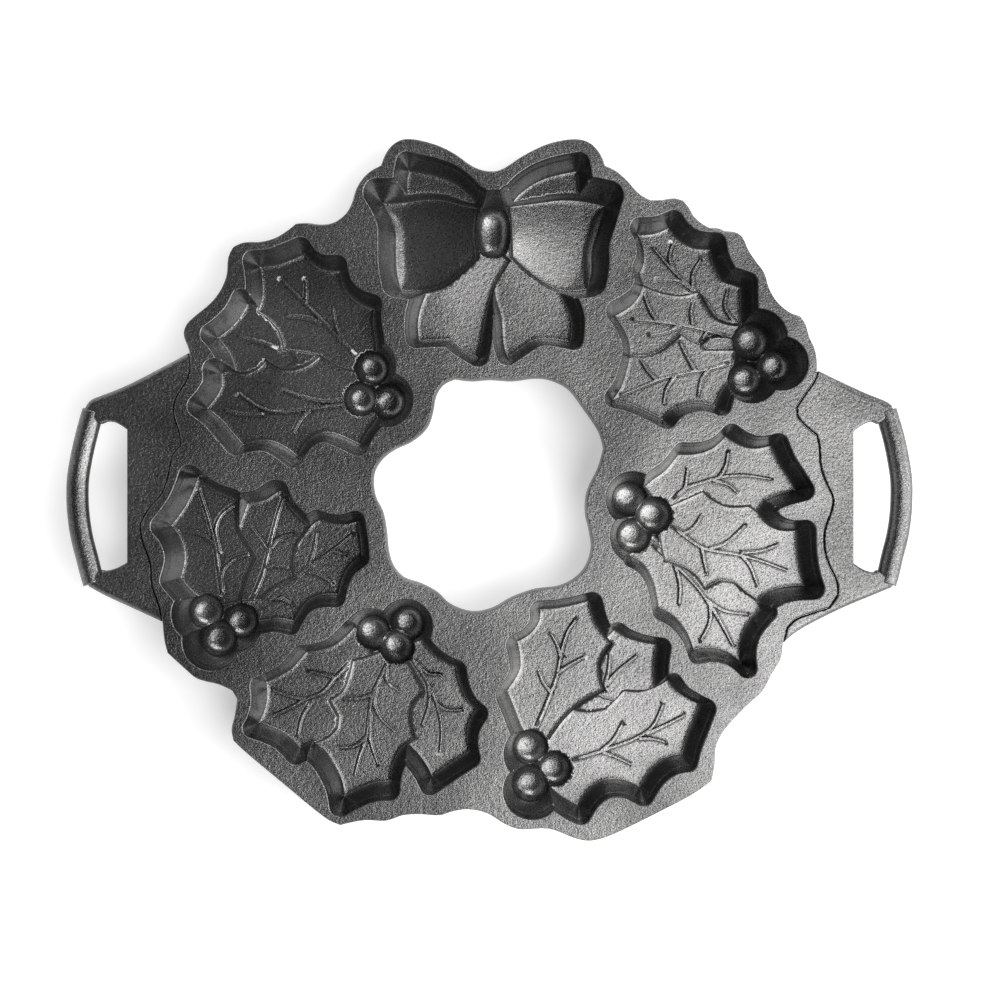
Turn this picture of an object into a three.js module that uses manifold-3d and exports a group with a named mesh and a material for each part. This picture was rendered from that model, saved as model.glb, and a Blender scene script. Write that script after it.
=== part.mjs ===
// A cast iron cakelet pan in the shape of a holly wreath: a flat wreath plate that carries six holly cups
// and one ribbon bow cup, with an ear and a curved grip bar at each side.
// Millimetres, +Z up. The origin is the bottom centre of the pan's box, on the surface that it rests on.
// +X runs to the right grip and +Y to the bow.
import * as THREE from 'three';
import { mergeVertices } from 'three/addons/utils/BufferGeometryUtils.js';
import Module from 'manifold-3d';

const wasm = await Module();
wasm.setup();

// Driving sizes
const panLength = 400;
const plateThickness = 5;
const deepCupDepth = 28;
const frontLeafDepth = 21;
const leafStep = 1.1;
const baseThickness = 4;
const cupWall = 3.2;
const draftDegrees = 13.5;
const edgeBevel = 1.2;
const cutOverrun = 2;
const seamGap = 0.3;

// Berries and the bow's knot
const berryPadRadius = 5.5;
const berryBowlHeight = 10;
const berrySides = 12;
const bowlSteps = 3;

// Raised leaf veins
const veinWidth = 1.9;
const veinHeight = 0.9;
const veinRoot = 2.5;
const veinTipShare = 0.5;
const veinCrestShare = 0.4;

// Ears and grips
const earDrop = 1.2;
const earBevel = 2.2;
const gripWidth = 10.4;
const gripHeight = 9.2;
const gripTop = 0.8;
const gripSides = 12;
const gripSteps = 14;

// Corners sharper than this are spines, which get a round offset
const spineDegrees = 32;
const spineFans = 2;

// Points nearer to each other than this share of a pixel are one point
const mergeShare = 0.004;

// Pixels of the reference photograph, which looks straight down on the plate from cameraHeight above it
const leftEndPixel = 66.5;
const rightEndPixel = 912.5;
const topEndPixel = 137.3;
const bottomEndPixel = 842.6;
const viewCentrePixel = [492, 492];
const cameraHeight = 720;

const gripMiddleDepth = gripTop + gripHeight / 2;
const gripSpread = 1 + gripMiddleDepth / cameraHeight;
const panCentrePixel = [(leftEndPixel + rightEndPixel) / 2, (topEndPixel + bottomEndPixel) / 2];
const mmPerPixel = panLength / ((rightEndPixel - leftEndPixel) * gripSpread);
const draft = Math.tan(THREE.MathUtils.degToRad(draftDegrees));
const plateTop = deepCupDepth + baseThickness;
const plateUnder = plateTop - plateThickness;
const middleLeafDepth = frontLeafDepth - leafStep;
const backLeafDepth = middleLeafDepth - leafStep;
const lensDepth = backLeafDepth - leafStep;

// The wreath plate's outer edge, clockwise from the left of the bow
const wreathEdgePixels = [
  [345, 212], [351, 201], [355, 188], [361, 178], [369, 170], [380, 164], [386, 150], [394, 141.5],
  [404, 137.3], [418, 138], [438, 143.5], [455, 152], [472, 164], [485, 169], [497, 169], [507, 164.5],
  [518, 157], [532, 149], [548, 142], [565, 138], [580, 137.5], [592, 142], [601, 152], [606, 164],
  [618, 170], [629, 180], [640, 192], [651, 198.5], [663, 198], [675, 196.5], [684, 199], [690, 206],
  [696, 216], [708, 225], [722, 229], [736, 230.5], [744, 236], [750, 249], [758, 261], [766, 272],
  [771, 288], [779, 301], [791, 311], [801, 314.5], [807, 323], [811, 336], [817, 350], [818.8, 369],
  [815, 381], [806, 394], [797.5, 407], [798.5, 417], [808, 427], [818, 435], [820.5, 448],
  [821.5, 465], [826, 480], [834, 499], [832, 512], [826.8, 526], [825, 541], [828, 560], [838, 583],
  [839, 595], [830, 608.5], [814, 613], [797, 619.5], [788, 628], [784.7, 644], [782, 660],
  [773, 675], [764, 692], [750, 705], [737, 718], [723, 735], [717, 749], [716, 765], [713, 782],
  [695, 795], [669, 809], [635, 826], [609, 838], [590, 842.6], [575, 840], [549, 830.5], [520, 831],
  [505, 826], [487, 815], [468, 811], [453, 813], [440, 817], [420, 816], [403, 817], [386, 822.5],
  [364, 822], [340, 827], [325, 820], [282, 785], [246, 755], [232, 742], [230, 730], [233, 717],
  [235.5, 700], [231, 692], [218, 686], [196, 680], [183, 669.5], [166, 654], [162.5, 640],
  [160.7, 622.5], [158, 606], [151, 586], [149, 562], [141, 540], [139, 525], [148, 509],
  [161, 494], [168, 472], [171, 457], [180, 446], [178, 430], [172.5, 411], [175, 398], [187, 378],
  [188.8, 362], [187, 349], [182, 335], [184, 325], [191, 317], [209, 302], [219, 289], [225, 274],
  [226.5, 257], [232, 245.5], [243, 240.8], [261, 240], [275, 236], [287, 228.5], [295, 222],
  [306, 221.3], [322, 223], [334, 220.5],
];

// The opening in the middle of the wreath
const middleOpeningPixels = [
  [455, 379], [443, 385], [436, 396], [433, 412], [427, 428], [412, 441.5], [395, 449.5], [382, 459.5],
  [374, 474], [375, 495], [383, 512], [386.5, 530], [389, 553], [394, 567], [404, 577.5],
  [420, 583], [437, 592], [450, 604], [472, 611.6], [492, 608], [512, 597], [535, 589], [558, 586],
  [574, 578.5], [585.5, 566], [591, 548], [589, 531], [585, 512], [587, 491], [598, 467.5],
  [603.5, 448], [598, 430.5], [582, 407], [568, 389], [550, 380], [534, 378.3], [512, 381],
  [490, 379.7], [472, 381],
];

// Six holly cups. Each leaf is the outline of its floor, and the ones in front are cut deeper.
// Veins are the centre lines of raised ribs, and berries are the centres and radii of round pits.
const hollyCups = [
  {
    name: 'holly_cup_upper_left',
    leaves: [
      {
        depth: frontLeafDepth,
        outline: [
          [221.2, 373], [221.5, 386], [216, 397], [206.5, 408.5], [221, 420], [233, 434], [243, 445.5],
          [256, 442], [271, 441.5], [285, 447.5], [298, 457.5], [306, 444], [317, 435.5], [329, 433],
          [343, 437], [361, 446], [368, 433], [380, 415], [384, 392], [373, 376], [355, 371.5],
          [344, 369], [333, 364], [320, 355.7], [309, 364.5], [296, 369.5], [281, 369.7], [266, 361],
          [256, 370], [243, 374], [231, 371],
        ],
        veins: [
          [[345, 400], [326, 401.5], [305, 397.5], [285, 390.5]],
          [[344, 404], [325, 406.5], [302, 410], [274, 411.5], [257, 406], [240, 394]],
          [[262, 413.5], [245, 414.5], [226, 410.5]],
          [[310, 409], [301, 418], [294, 431]],
        ],
      },
      {
        depth: middleLeafDepth,
        outline: [
          [259.5, 266.8], [262, 281], [262, 298], [257.5, 312], [269, 320], [279, 332], [284, 350],
          [301, 351.5], [320, 355.5], [344, 385], [380, 380], [377, 343], [374, 324], [375, 309],
          [359, 303], [346, 290], [341, 271], [326, 270.5], [314, 264.5], [305.7, 253.7],
          [291, 260], [277, 265],
        ],
        veins: [
          [[357, 355], [344, 343.5], [328, 327], [310, 308.5], [296, 294.5], [281.8, 280]],
          [[305.5, 302], [306.5, 290], [305.7, 281]],
          [[320, 322], [306, 317.5], [288, 316]],
          [[343, 341], [336, 326], [332.8, 308.5]],
        ],
      },
      {
        depth: backLeafDepth,
        outline: [
          [247.5, 303.5], [240, 317.5], [229, 329], [217.3, 338], [227, 350], [233, 362], [237.5, 375],
          [255, 390], [284, 372], [298, 362], [290, 345], [283, 330], [268, 312],
        ],
        veins: [
          [[279, 349], [262, 342.5], [240.5, 337]],
        ],
      },
      {
        depth: lensDepth,
        outline: [
          [262, 322], [272, 342], [277, 362], [290, 374], [306, 370], [318, 358], [300, 348],
          [284, 344], [277, 330],
        ],
        veins: [],
      },
    ],
    berries: [[373.5, 370, 17.5], [362.3, 399.6, 17.5], [389.4, 402.8, 18]],
  },
  {
    name: 'holly_cup_left',
    leaves: [
      {
        depth: frontLeafDepth,
        outline: [
          [198, 476], [194, 488], [186, 505], [170.8, 525.5], [180, 538], [184.7, 556], [180, 578],
          [199, 597], [222, 606], [241, 602], [245, 586], [256, 558], [247, 542], [240, 531],
          [238.3, 516], [238.5, 499], [226, 495], [212, 487.5],
        ],
        veins: [
          [[222.5, 592], [219, 571], [216, 550], [211, 527], [205, 507], [199.5, 491]],
          [[213, 543], [200, 533.5], [182, 530]],
          [[219, 551], [216, 528], [221.5, 515], [232, 506]],
          [[222, 589], [221.5, 573], [232, 560.5], [247.5, 554.5]],
        ],
      },
      {
        depth: middleLeafDepth,
        outline: [
          [247.8, 502.5], [244, 513], [239, 527], [232, 560], [238, 600], [262, 600.5], [270, 592.5],
          [281, 584.5], [296, 578], [294.3, 562], [297, 546.5], [304, 535.5], [310.5, 526],
          [300, 517], [290, 505.5], [283.5, 490.5], [279.5, 490.5], [265, 499.5],
        ],
        veins: [
          [[252, 600], [263, 574], [270, 546], [277, 518], [283, 499]],
          [[268.5, 552], [260, 538.5], [252, 528.5]],
          [[271, 547], [278, 538.5], [292, 533.5]],
          [[266, 567], [277, 565.5], [287, 568]],
        ],
      },
      {
        depth: backLeafDepth,
        outline: [
          [320.7, 519], [311.5, 525], [296, 545], [285, 575], [262, 595], [240, 605], [244, 622],
          [262, 621.2], [278, 619], [295, 622], [301, 611], [309, 601], [322, 595.5], [339.5, 595],
          [343, 580], [350, 566.5], [363, 556], [361.5, 538], [358.5, 520], [345, 523.5], [332, 522.5],
        ],
        veins: [
          [[263, 605], [276, 595], [290, 584], [307, 568], [330, 552], [351.5, 534.5]],
          [[308, 567], [313, 552], [316.5, 533]],
          [[333, 550], [345, 554.5]],
          [[306, 571], [319, 574.5], [331, 583]],
          [[272, 598.5], [281, 598.5], [290, 603.5]],
        ],
      },
    ],
    berries: [[209.6, 610, 17.6], [243.6, 619.5, 17.8], [221.5, 636.3, 19]],
  },
  {
    name: 'holly_cup_lower_left',
    leaves: [
      {
        depth: frontLeafDepth,
        outline: [
          [315, 743], [328, 737], [337.5, 728], [339, 716], [330.4, 700], [343, 690.5], [349, 676],
          [352.8, 660.5], [366, 657], [380, 652], [394, 646], [408, 660], [418, 678], [425, 691],
          [414, 703], [411.5, 717], [415, 738.5], [402, 748.5], [394.5, 762], [391.7, 781.5],
          [375, 783], [360, 788.5], [344.4, 797], [341.5, 781], [335, 766], [326, 752],
        ],
        veins: [
          [[387, 664], [379, 680], [372, 696], [369, 716], [366, 740]],
          [[386, 666], [387, 681], [399, 691.5]],
          [[377, 687], [374, 703], [380, 717], [394, 731]],
          [[370, 712], [370, 739], [377.6, 763]],
          [[365, 741], [359, 758], [355, 774]],
          [[371, 694.5], [360, 698], [345, 698.6]],
          [[366, 737], [354, 746], [339.5, 747.5]],
        ],
      },
      {
        depth: middleLeafDepth,
        outline: [
          [422.4, 639], [430, 649], [442, 659], [457, 666], [460, 682], [467, 697.5], [478, 708],
          [470, 722], [468, 737], [470.5, 751], [454, 761.5], [441, 770.5], [431.5, 777],
          [426, 765.5], [418, 754.5], [408, 744], [385, 722], [390, 680], [395, 655], [408, 645],
        ],
        veins: [
          [[413, 660], [422.5, 674], [432, 692], [438, 708], [441.5, 730], [440, 752]],
          [[416, 662], [427, 672.5], [440.6, 674.5]],
          [[429, 686], [429, 704], [422.4, 724]],
          [[437, 704], [447, 709.5], [460.5, 709.5]],
        ],
      },
      {
        depth: backLeafDepth,
        outline: [
          [355, 626], [345, 636.5], [334, 645], [320, 649.5], [306.5, 651], [300, 659], [291, 668.5],
          [279, 675.5], [266, 681.5], [267, 697], [264, 711], [258.5, 722.5], [272, 727], [286, 734],
          [300.5, 748.5], [314, 741.5], [340, 752], [362, 720], [370, 680], [372, 650], [366, 632],
        ],
        veins: [
          [[349, 664], [334.5, 678], [322, 692], [305, 699], [290, 707.5], [274.8, 714.4]],
          [[305, 698.5], [291, 696.3], [273, 689.5]],
          [[334, 677], [322, 674], [310.4, 671.2]],
          [[311, 702], [302, 717], [298, 734]],
        ],
      },
    ],
    berries: [[374.9, 630.5, 17.5], [408.7, 621.5, 17.5], [397.9, 644.9, 17.8]],
  },
  {
    name: 'holly_cup_lower_right',
    leaves: [
      {
        depth: frontLeafDepth,
        outline: [
          [539.4, 608.4], [538.5, 621], [530, 633], [516.4, 641], [519.5, 655], [519, 670],
          [506.5, 690], [513, 706], [521.5, 727], [532, 742], [549, 738], [559, 724], [573, 708.8],
          [586, 699], [604, 690], [600, 676], [600.5, 660], [611.3, 643.8], [600.5, 631],
          [594.5, 620], [589, 600], [572, 604.5], [556, 607.5],
        ],
        veins: [
          [[536, 727], [546, 704], [556, 677], [561.5, 650], [567, 632], [574.5, 620.5]],
          [[560.5, 656], [557, 645], [551.6, 635]],
          [[550, 691], [543.5, 683], [538.6, 672]],
          [[558, 672], [571, 663.5], [583.5, 657]],
        ],
      },
      {
        depth: middleLeafDepth,
        outline: [
          [655, 686.5], [668, 678.8], [677, 690.5], [700, 703.5], [693, 722], [686, 740], [682.5, 754.5],
          [667, 758], [652, 769], [639.6, 787.6], [622, 780], [603, 780.5], [590, 789], [578.4, 806],
          [567, 800], [551, 787.5], [540, 765], [548, 739], [562, 720.5], [573, 709.3], [590, 711.5],
          [606, 708.5], [624, 690], [640, 691],
        ],
        veins: [
          [[571, 760], [590, 754.5], [612, 747], [634, 738.5], [652, 726.5], [662.5, 705]],
          [[602, 750], [613, 739.5], [621.3, 724.7]],
          [[647, 733], [664, 725.5], [683.3, 715.5]],
          [[640, 738.5], [652, 738.5], [664, 741.5]],
          [[603, 752], [617, 757.5], [629.7, 763.7]],
        ],
      },
      {
        depth: backLeafDepth,
        outline: [
          [614.4, 629], [625, 636], [640, 641], [657.2, 643.8], [654.5, 664], [655, 686], [640, 700],
          [610, 700], [588, 690], [590, 660], [604, 640],
        ],
        veins: [
          [[604, 687], [608, 672], [609.5, 655.5]],
          [[606, 684], [618, 671], [636, 655.8]],
        ],
      },
      {
        depth: lensDepth,
        outline: [[570, 712], [580, 697], [604, 684], [630, 686], [616, 712], [592, 718]],
        veins: [],
      },
    ],
    berries: [[530, 744.6, 18], [553.2, 766, 17.6], [530.5, 780, 19]],
  },
  {
    name: 'holly_cup_right',
    leaves: [
      {
        depth: frontLeafDepth,
        outline: [
          [757, 512], [765.8, 522.8], [779, 529.5], [796.5, 529.8], [797, 550], [800, 570],
          [804.8, 586], [784, 587.5], [769, 592], [757.5, 600.5], [746, 593], [734, 583],
          [720, 581], [704.4, 588.5], [697, 577], [684.5, 568], [664.6, 560.3], [660, 535],
          [662, 510], [673, 504.5], [688, 498], [703, 491.2], [714, 500.5], [728, 506.5], [749, 506],
        ],
        veins: [
          [[671, 525], [690, 540], [706, 549], [735, 554], [760, 560.5], [785.7, 570]],
          [[683, 533.5], [693.5, 527], [701, 515.5]],
          [[710, 548.5], [727, 542], [744, 525.5]],
          [[701.5, 547], [703.5, 560], [706, 571]],
          [[741, 555], [750, 566], [756.7, 584]],
          [[742, 552.5], [761, 550.5], [775.7, 545]],
        ],
      },
      {
        depth: middleLeafDepth,
        outline: [
          [644.7, 486.5], [652, 479.5], [664, 471], [678, 454], [696, 453.5], [712, 448], [725.2, 435.8],
          [737, 443.5], [752, 448], [770.8, 445], [778, 462], [788, 477.5], [796, 490.5], [779, 495],
          [765, 500.5], [757, 511.5], [740, 530], [700, 520], [670, 515], [655, 500],
        ],
        veins: [
          [[672, 500], [685, 488.5], [702, 482.5], [722, 477], [745, 475.5], [770, 479]],
          [[685, 488], [687, 470]],
          [[719, 477.5], [725.5, 465], [727.6, 453]],
          [[714, 480.5], [728, 485], [737.6, 493]],
        ],
      },
      {
        depth: backLeafDepth,
        outline: [
          [629, 556], [642, 563.5], [651, 577], [655.5, 592], [658, 607.5], [674, 617], [686, 632],
          [692.8, 650], [710, 648], [727, 652.5], [740.9, 664], [740, 645], [745.5, 627.5],
          [760.5, 609], [757, 601], [740, 580], [705, 575], [670, 552], [655, 535], [635, 540],
        ],
        veins: [
          [[651.5, 543.5], [663, 553.5], [684, 573.5], [699, 590], [710, 606]],
          [[675, 565], [679.5, 585], [678.7, 603]],
          [[710, 605], [709.5, 622], [701, 639]],
          [[711, 606], [722, 625], [732.6, 645.5]],
          [[707, 600], [724, 610.5], [746.7, 614]],
        ],
      },
    ],
    berries: [[627.8, 498.5, 17.5], [632, 535, 17.5], [652, 514.9, 18.8]],
  },
  {
    name: 'holly_cup_upper_right',
    leaves: [
      {
        depth: frontLeafDepth,
        outline: [
          [642.5, 285.4], [638, 297], [629, 307], [613.7, 316], [622, 328], [628, 341],
          [630, 356.5], [649, 356], [665, 348], [681, 334], [691, 341.5], [700, 344.8], [708, 337.5],
          [720, 336], [735, 340], [742, 326], [724, 323.5], [712, 316.5], [698.5, 291.8],
          [680, 295.8], [660, 292.5],
        ],
        veins: [
          [[728, 336], [705, 330], [681, 325], [655, 321.5], [634.5, 319.8]],
          [[657, 321], [649.5, 310], [644.5, 297]],
          [[692.5, 324], [690.5, 313], [692.6, 303]],
          [[680, 325.5], [666, 331.5], [651, 335]],
          [[699, 343], [706.5, 332]],
        ],
      },
      {
        depth: middleLeafDepth,
        outline: [
          [636.7, 234.8], [642, 247], [643, 262], [639, 273.5], [642.8, 284], [660, 300], [700, 305],
          [720, 335], [745, 340], [741.5, 318], [741, 303], [740.8, 287.7], [722, 281.5],
          [714, 266], [710.2, 249.4], [690, 247], [677, 238.5], [668.8, 227.5], [654, 233.5],
        ],
        veins: [
          [[737, 324], [716, 317], [706, 302], [690, 287], [671, 269], [653.5, 248.5]],
          [[673, 270], [669, 257], [672, 245]],
          [[693, 289], [692.5, 274], [700, 260]],
          [[692, 290], [677, 280.5], [658.7, 279.8]],
          [[734, 322], [724.5, 307], [727, 290.5]],
        ],
      },
      {
        depth: backLeafDepth,
        outline: [
          [630, 352], [627, 367], [620.5, 387], [611.4, 400.2], [630, 405], [647, 412.5], [662.7, 421],
          [672, 410.5], [689, 404], [704, 404.2], [716, 408], [721, 393], [732, 378], [735, 350],
          [705, 350], [690, 336], [670, 336], [650, 348],
        ],
        veins: [
          [[731, 362], [708, 369], [688, 372], [662, 378.5], [642, 386.3], [621.5, 394.8]],
          [[656, 379.5], [648, 371.5], [642, 362.5]],
          [[675, 376], [666.5, 388], [663.5, 402.5]],
          [[708, 369.5], [701, 380], [698, 395.5]],
          [[694, 369], [686.5, 356.5], [680.5, 344]],
        ],
      },
      {
        depth: lensDepth,
        outline: [[696, 349], [706, 333], [722, 331], [734, 338], [734, 348], [718, 352]],
        veins: [],
      },
    ],
    berries: [[748.4, 343.5, 19.5], [770.6, 368, 17.5], [742.3, 380.3, 17.5]],
  },
];

// The ribbon bow: two front loops cut to the full depth, with the back loops and the tails behind them
const bowCup = {
  name: 'ribbon_bow_cup',
  leaves: [
    {
      depth: deepCupDepth,
      outline: [
        [382, 203.5], [391, 219], [396, 234], [396.5, 252], [397, 272], [400, 290.5], [416, 292],
        [432, 290], [447, 284], [461, 273.5], [477, 260], [475, 235], [478, 209.7], [461, 206],
        [444, 201], [424, 200.3], [402, 203],
      ],
      veins: [],
    },
    {
      depth: deepCupDepth,
      outline: [
        [509, 208.4], [511.5, 235], [512, 258.5], [524, 269.5], [540, 281.5], [556, 290], [572, 292],
        [588, 290], [591, 272], [591, 253], [596, 236], [605, 206], [580, 201], [560, 200.5],
        [540, 203.5],
      ],
      veins: [],
    },
    {
      depth: frontLeafDepth,
      outline: [
        [428, 291], [421, 307], [417.5, 323], [418.5, 341.5], [436, 340.5], [450, 340], [462, 349.5],
        [478.5, 359.5], [482, 341], [486, 317], [495, 286], [509, 262], [494, 250], [468, 255],
        [440, 272],
      ],
      veins: [],
    },
    {
      depth: middleLeafDepth,
      outline: [
        [495, 297], [500.5, 316], [503, 345], [507, 358.5], [521, 349], [535, 340.5], [550, 339.5],
        [571, 343.5], [572, 322], [566, 305], [556, 288], [530, 262], [506, 250], [494, 270],
      ],
      veins: [],
    },
    {
      depth: middleLeafDepth,
      outline: [
        [409, 170.5], [420, 173], [437, 177], [453, 183], [465, 192], [477, 206], [480, 222],
        [455, 224], [425, 216], [408, 200], [406.5, 184],
      ],
      veins: [],
    },
    {
      depth: middleLeafDepth,
      outline: [
        [509, 207], [519, 194.5], [534, 183.5], [551, 176.5], [577, 171], [579.5, 186], [578, 204],
        [558, 216], [530, 222], [508, 222],
      ],
      veins: [],
    },
  ],
  berries: [[493.3, 235.5, 17.5, 26]],
};

// The end line of each ear's two prongs, where the grip bar starts and ends
const leftProngEnds = { upper: [[81.2, 415.5], [100, 424]], lower: [[101, 570], [82, 579]] };
const rightProngEnds = { upper: [[898, 415.5], [879, 424]], lower: [[878, 570], [898.5, 579]] };

// Each ear's outline, which runs under the wreath plate and is then cut back by it
const leftEarPixels = [
  [188.4, 351.2], [170, 361.4], [131.5, 381.5], [112.4, 390], [99, 395], [89.4, 399], [83.7, 405.6],
  ...leftProngEnds.upper, [106, 421.5], [114, 422.5], [125.4, 429.5], [125.4, 562.5],
  [114, 568.5], [104, 571], ...leftProngEnds.lower, [86.6, 587], [102.8, 596], [135.4, 611],
  [160.6, 622.7], [178, 620], [178, 560], [170, 520], [190, 470], [200, 430], [200, 360],
];
const rightEarPixels = [
  [820.5, 370], [835, 377.2], [866.8, 392], [887.8, 400.5], [894, 404.7], ...rightProngEnds.upper,
  [873, 421.5], [866, 424], [855.6, 431], [855.6, 563.6], [866, 570], [875, 572.5],
  ...rightProngEnds.lower, [894, 588], [877, 595], [843.6, 609], [810, 625.7], [795, 635], [784.7, 644],
  [770, 640], [780, 600], [800, 560], [800, 480], [780, 410], [800, 380],
];

// Each grip bar's centre line, which starts and ends inside the prongs
const leftGripPixels = [
  [93.4, 411], [90.6, 420], [86, 437], [81.3, 458], [77.9, 480], [77.6, 502], [79.2, 521], [82.1, 538.5],
  [86.6, 556], [91.4, 574.5], [94, 583],
];
const rightGripPixels = [
  [885.8, 411], [888.6, 420], [893.5, 437], [898, 458], [901.2, 480], [901.3, 502], [899.8, 521],
  [896.8, 538.5], [892.3, 556], [888, 574.5], [885.4, 583],
];

// A pixel's place on the pan, for a point that lies depth under the plate's top
function planPoint([column, row], depth = 0) {
  const spread = 1 + depth / cameraHeight;
  const right = (column - viewCentrePixel[0]) * spread + viewCentrePixel[0] - panCentrePixel[0];
  const down = (row - viewCentrePixel[1]) * spread + viewCentrePixel[1] - panCentrePixel[1];
  return new THREE.Vector2(right * mmPerPixel, -down * mmPerPixel);
}

function planOutline(pixels, depth = 0) {
  const outline = pixels.map((pixel) => planPoint(pixel, depth));
  return THREE.ShapeUtils.isClockWise(outline) ? outline.reverse() : outline;
}

// An outline moved outwards. Spines get a round fan of points, and each ring keeps the same count.
function offsetOutline(outline, distance) {
  const ring = [];
  const addPoint = (point, angle, reach) => {
    const step = new THREE.Vector2(Math.cos(angle), Math.sin(angle)).multiplyScalar(reach);
    ring.push(point.clone().add(step));
  };
  outline.forEach((point, i) => {
    const before = outline.at(i - 1);
    const after = outline[(i + 1) % outline.length];
    const into = point.clone().sub(before).normalize();
    const out = after.clone().sub(point).normalize();
    const turn = Math.atan2(into.cross(out), into.dot(out));
    const start = Math.atan2(-into.x, into.y);
    if (turn > THREE.MathUtils.degToRad(spineDegrees)) {
      for (let fan = 0; fan <= spineFans; fan += 1) {
        addPoint(point, start + (turn * fan) / spineFans, distance);
      }
    } else {
      addPoint(point, start + turn / 2, distance / Math.cos(turn / 2));
    }
  });
  return ring;
}

// A closed solid through rings of equal count, each at its own height. Points that meet are made one.
function loftedSolid(rings, heights) {
  const positions = [];
  const push = (point, height) => positions.push(point.x, point.y, height);
  const same = (a, b) => a.distanceTo(b) < mergeShare * mmPerPixel;
  const count = rings[0].length;
  for (let level = 0; level + 1 < rings.length; level += 1) {
    const [low, high] = [rings[level], rings[level + 1]];
    const [lowHeight, highHeight] = [heights[level], heights[level + 1]];
    for (let i = 0; i < count; i += 1) {
      const j = (i + 1) % count;
      if (!same(low[i], low[j])) {
        push(low[i], lowHeight);
        push(low[j], lowHeight);
        push(high[j], highHeight);
      }
      if (!same(high[i], high[j])) {
        push(low[i], lowHeight);
        push(high[j], highHeight);
        push(high[i], highHeight);
      }
    }
  }
  const cap = (ring, height, up) => {
    const corners = ring.filter((point, i) => !same(point, ring.at(i - 1)));
    THREE.ShapeUtils.triangulateShape(corners, []).forEach((face) => {
      const order = up ? face : [...face].reverse();
      order.forEach((index) => push(corners[index], height));
    });
  };
  cap(rings[0], heights[0], false);
  cap(rings.at(-1), heights.at(-1), true);
  const geometry = new THREE.BufferGeometry();
  geometry.setAttribute('position', new THREE.Float32BufferAttribute(positions, 3));
  return solidOf(geometry);
}

// The closed solid of a geometry, once its shared points are merged and its flat faces of no area are gone
function solidOf(geometry) {
  const bare = geometry.clone();
  bare.deleteAttribute('normal');
  bare.deleteAttribute('uv');
  const merged = mergeVertices(bare, mergeShare * mmPerPixel);
  const index = Array.from(merged.index.array);
  const kept = [];
  for (let i = 0; i < index.length; i += 3) {
    const [a, b, c] = index.slice(i, i + 3);
    if (a !== b && b !== c && c !== a) kept.push(a, b, c);
  }
  return new wasm.Manifold(new wasm.Mesh({
    numProp: 3,
    vertProperties: merged.attributes.position.array,
    triVerts: new Uint32Array(kept),
  }));
}

// One solid out of several
const joined = (solids) => solids.reduce((whole, solid) => whole.add(solid));

// A round or oval form about the vertical. Its profile of radius and height starts and ends on the axis.
function turnedSolid(profile, centre, stretch) {
  const geometry = new THREE.LatheGeometry(profile, berrySides);
  geometry.rotateX(Math.PI / 2);
  geometry.scale(1, stretch, 1);
  geometry.translate(centre.x, centre.y, 0);
  return solidOf(geometry);
}

// A flat outline made into a bevelled slab between two heights. Its widest line is the outline itself.
function slab(outline, holes, low, high, bevelSize) {
  const shape = new THREE.Shape(outline);
  shape.holes = holes.map((hole) => new THREE.Path(hole));
  const geometry = new THREE.ExtrudeGeometry(shape, {
    depth: high - low - 2 * edgeBevel,
    bevelThickness: edgeBevel,
    bevelSize,
    bevelOffset: -bevelSize,
    bevelSegments: 1,
  });
  geometry.translate(0, 0, low + edgeBevel);
  return solidOf(geometry);
}

// The hollow of one leaf, which widens upwards by the draft and runs out through the plate's top
function leafHollow(leaf) {
  const floor = planOutline(leaf.outline, leaf.depth);
  const rise = leaf.depth + cutOverrun;
  return loftedSolid(
    [offsetOutline(floor, 0), offsetOutline(floor, rise * draft)],
    [plateTop - leaf.depth, plateTop + cutOverrun],
  );
}

// The metal round one leaf's hollow, from under its floor to the plate's underside
function leafBody(leaf) {
  const floor = planOutline(leaf.outline, leaf.depth);
  const floorHeight = plateTop - leaf.depth;
  const rise = plateUnder - floorHeight;
  return loftedSolid(
    [offsetOutline(floor, cupWall), offsetOutline(floor, cupWall + rise * draft)],
    [floorHeight - baseThickness, plateUnder],
  );
}

// A vein: a rib that narrows to its tip and to its crest
function leafVein(centreLine, depth) {
  const points = centreLine.map((pixel) => planPoint(pixel, depth));
  const last = points.length - 1;
  const ribbon = (width) => {
    const sides = points.map((point, i) => {
      const along = points[Math.min(i + 1, last)].clone().sub(points[Math.max(i - 1, 0)]).normalize();
      const half = (width / 2) * (1 - ((1 - veinTipShare) * i) / last);
      const out = new THREE.Vector2(along.y, -along.x).multiplyScalar(half);
      return [point.clone().add(out), point.clone().sub(out)];
    });
    return [...sides.map(([right]) => right), ...sides.map(([, left]) => left).reverse()];
  };
  const floorHeight = plateTop - depth;
  return loftedSolid(
    [ribbon(veinWidth), ribbon(veinWidth * veinCrestShare)],
    [floorHeight - veinRoot, floorHeight + veinHeight],
  );
}

// A berry's round pit: a bowl with a drafted wall above its rim
function berryHollow([column, row, radius, length = radius]) {
  const rim = baseThickness + berryBowlHeight;
  const reach = lengthOf(radius, plateTop - rim);
  const profile = bowlArc(reach, berryBowlHeight, rim);
  const top = plateTop + cutOverrun;
  profile.push(new THREE.Vector2(reach + (top - rim) * draft, top), new THREE.Vector2(0, top));
  return turnedSolid(profile, planPoint([column, row], deepCupDepth), length / radius);
}

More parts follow.
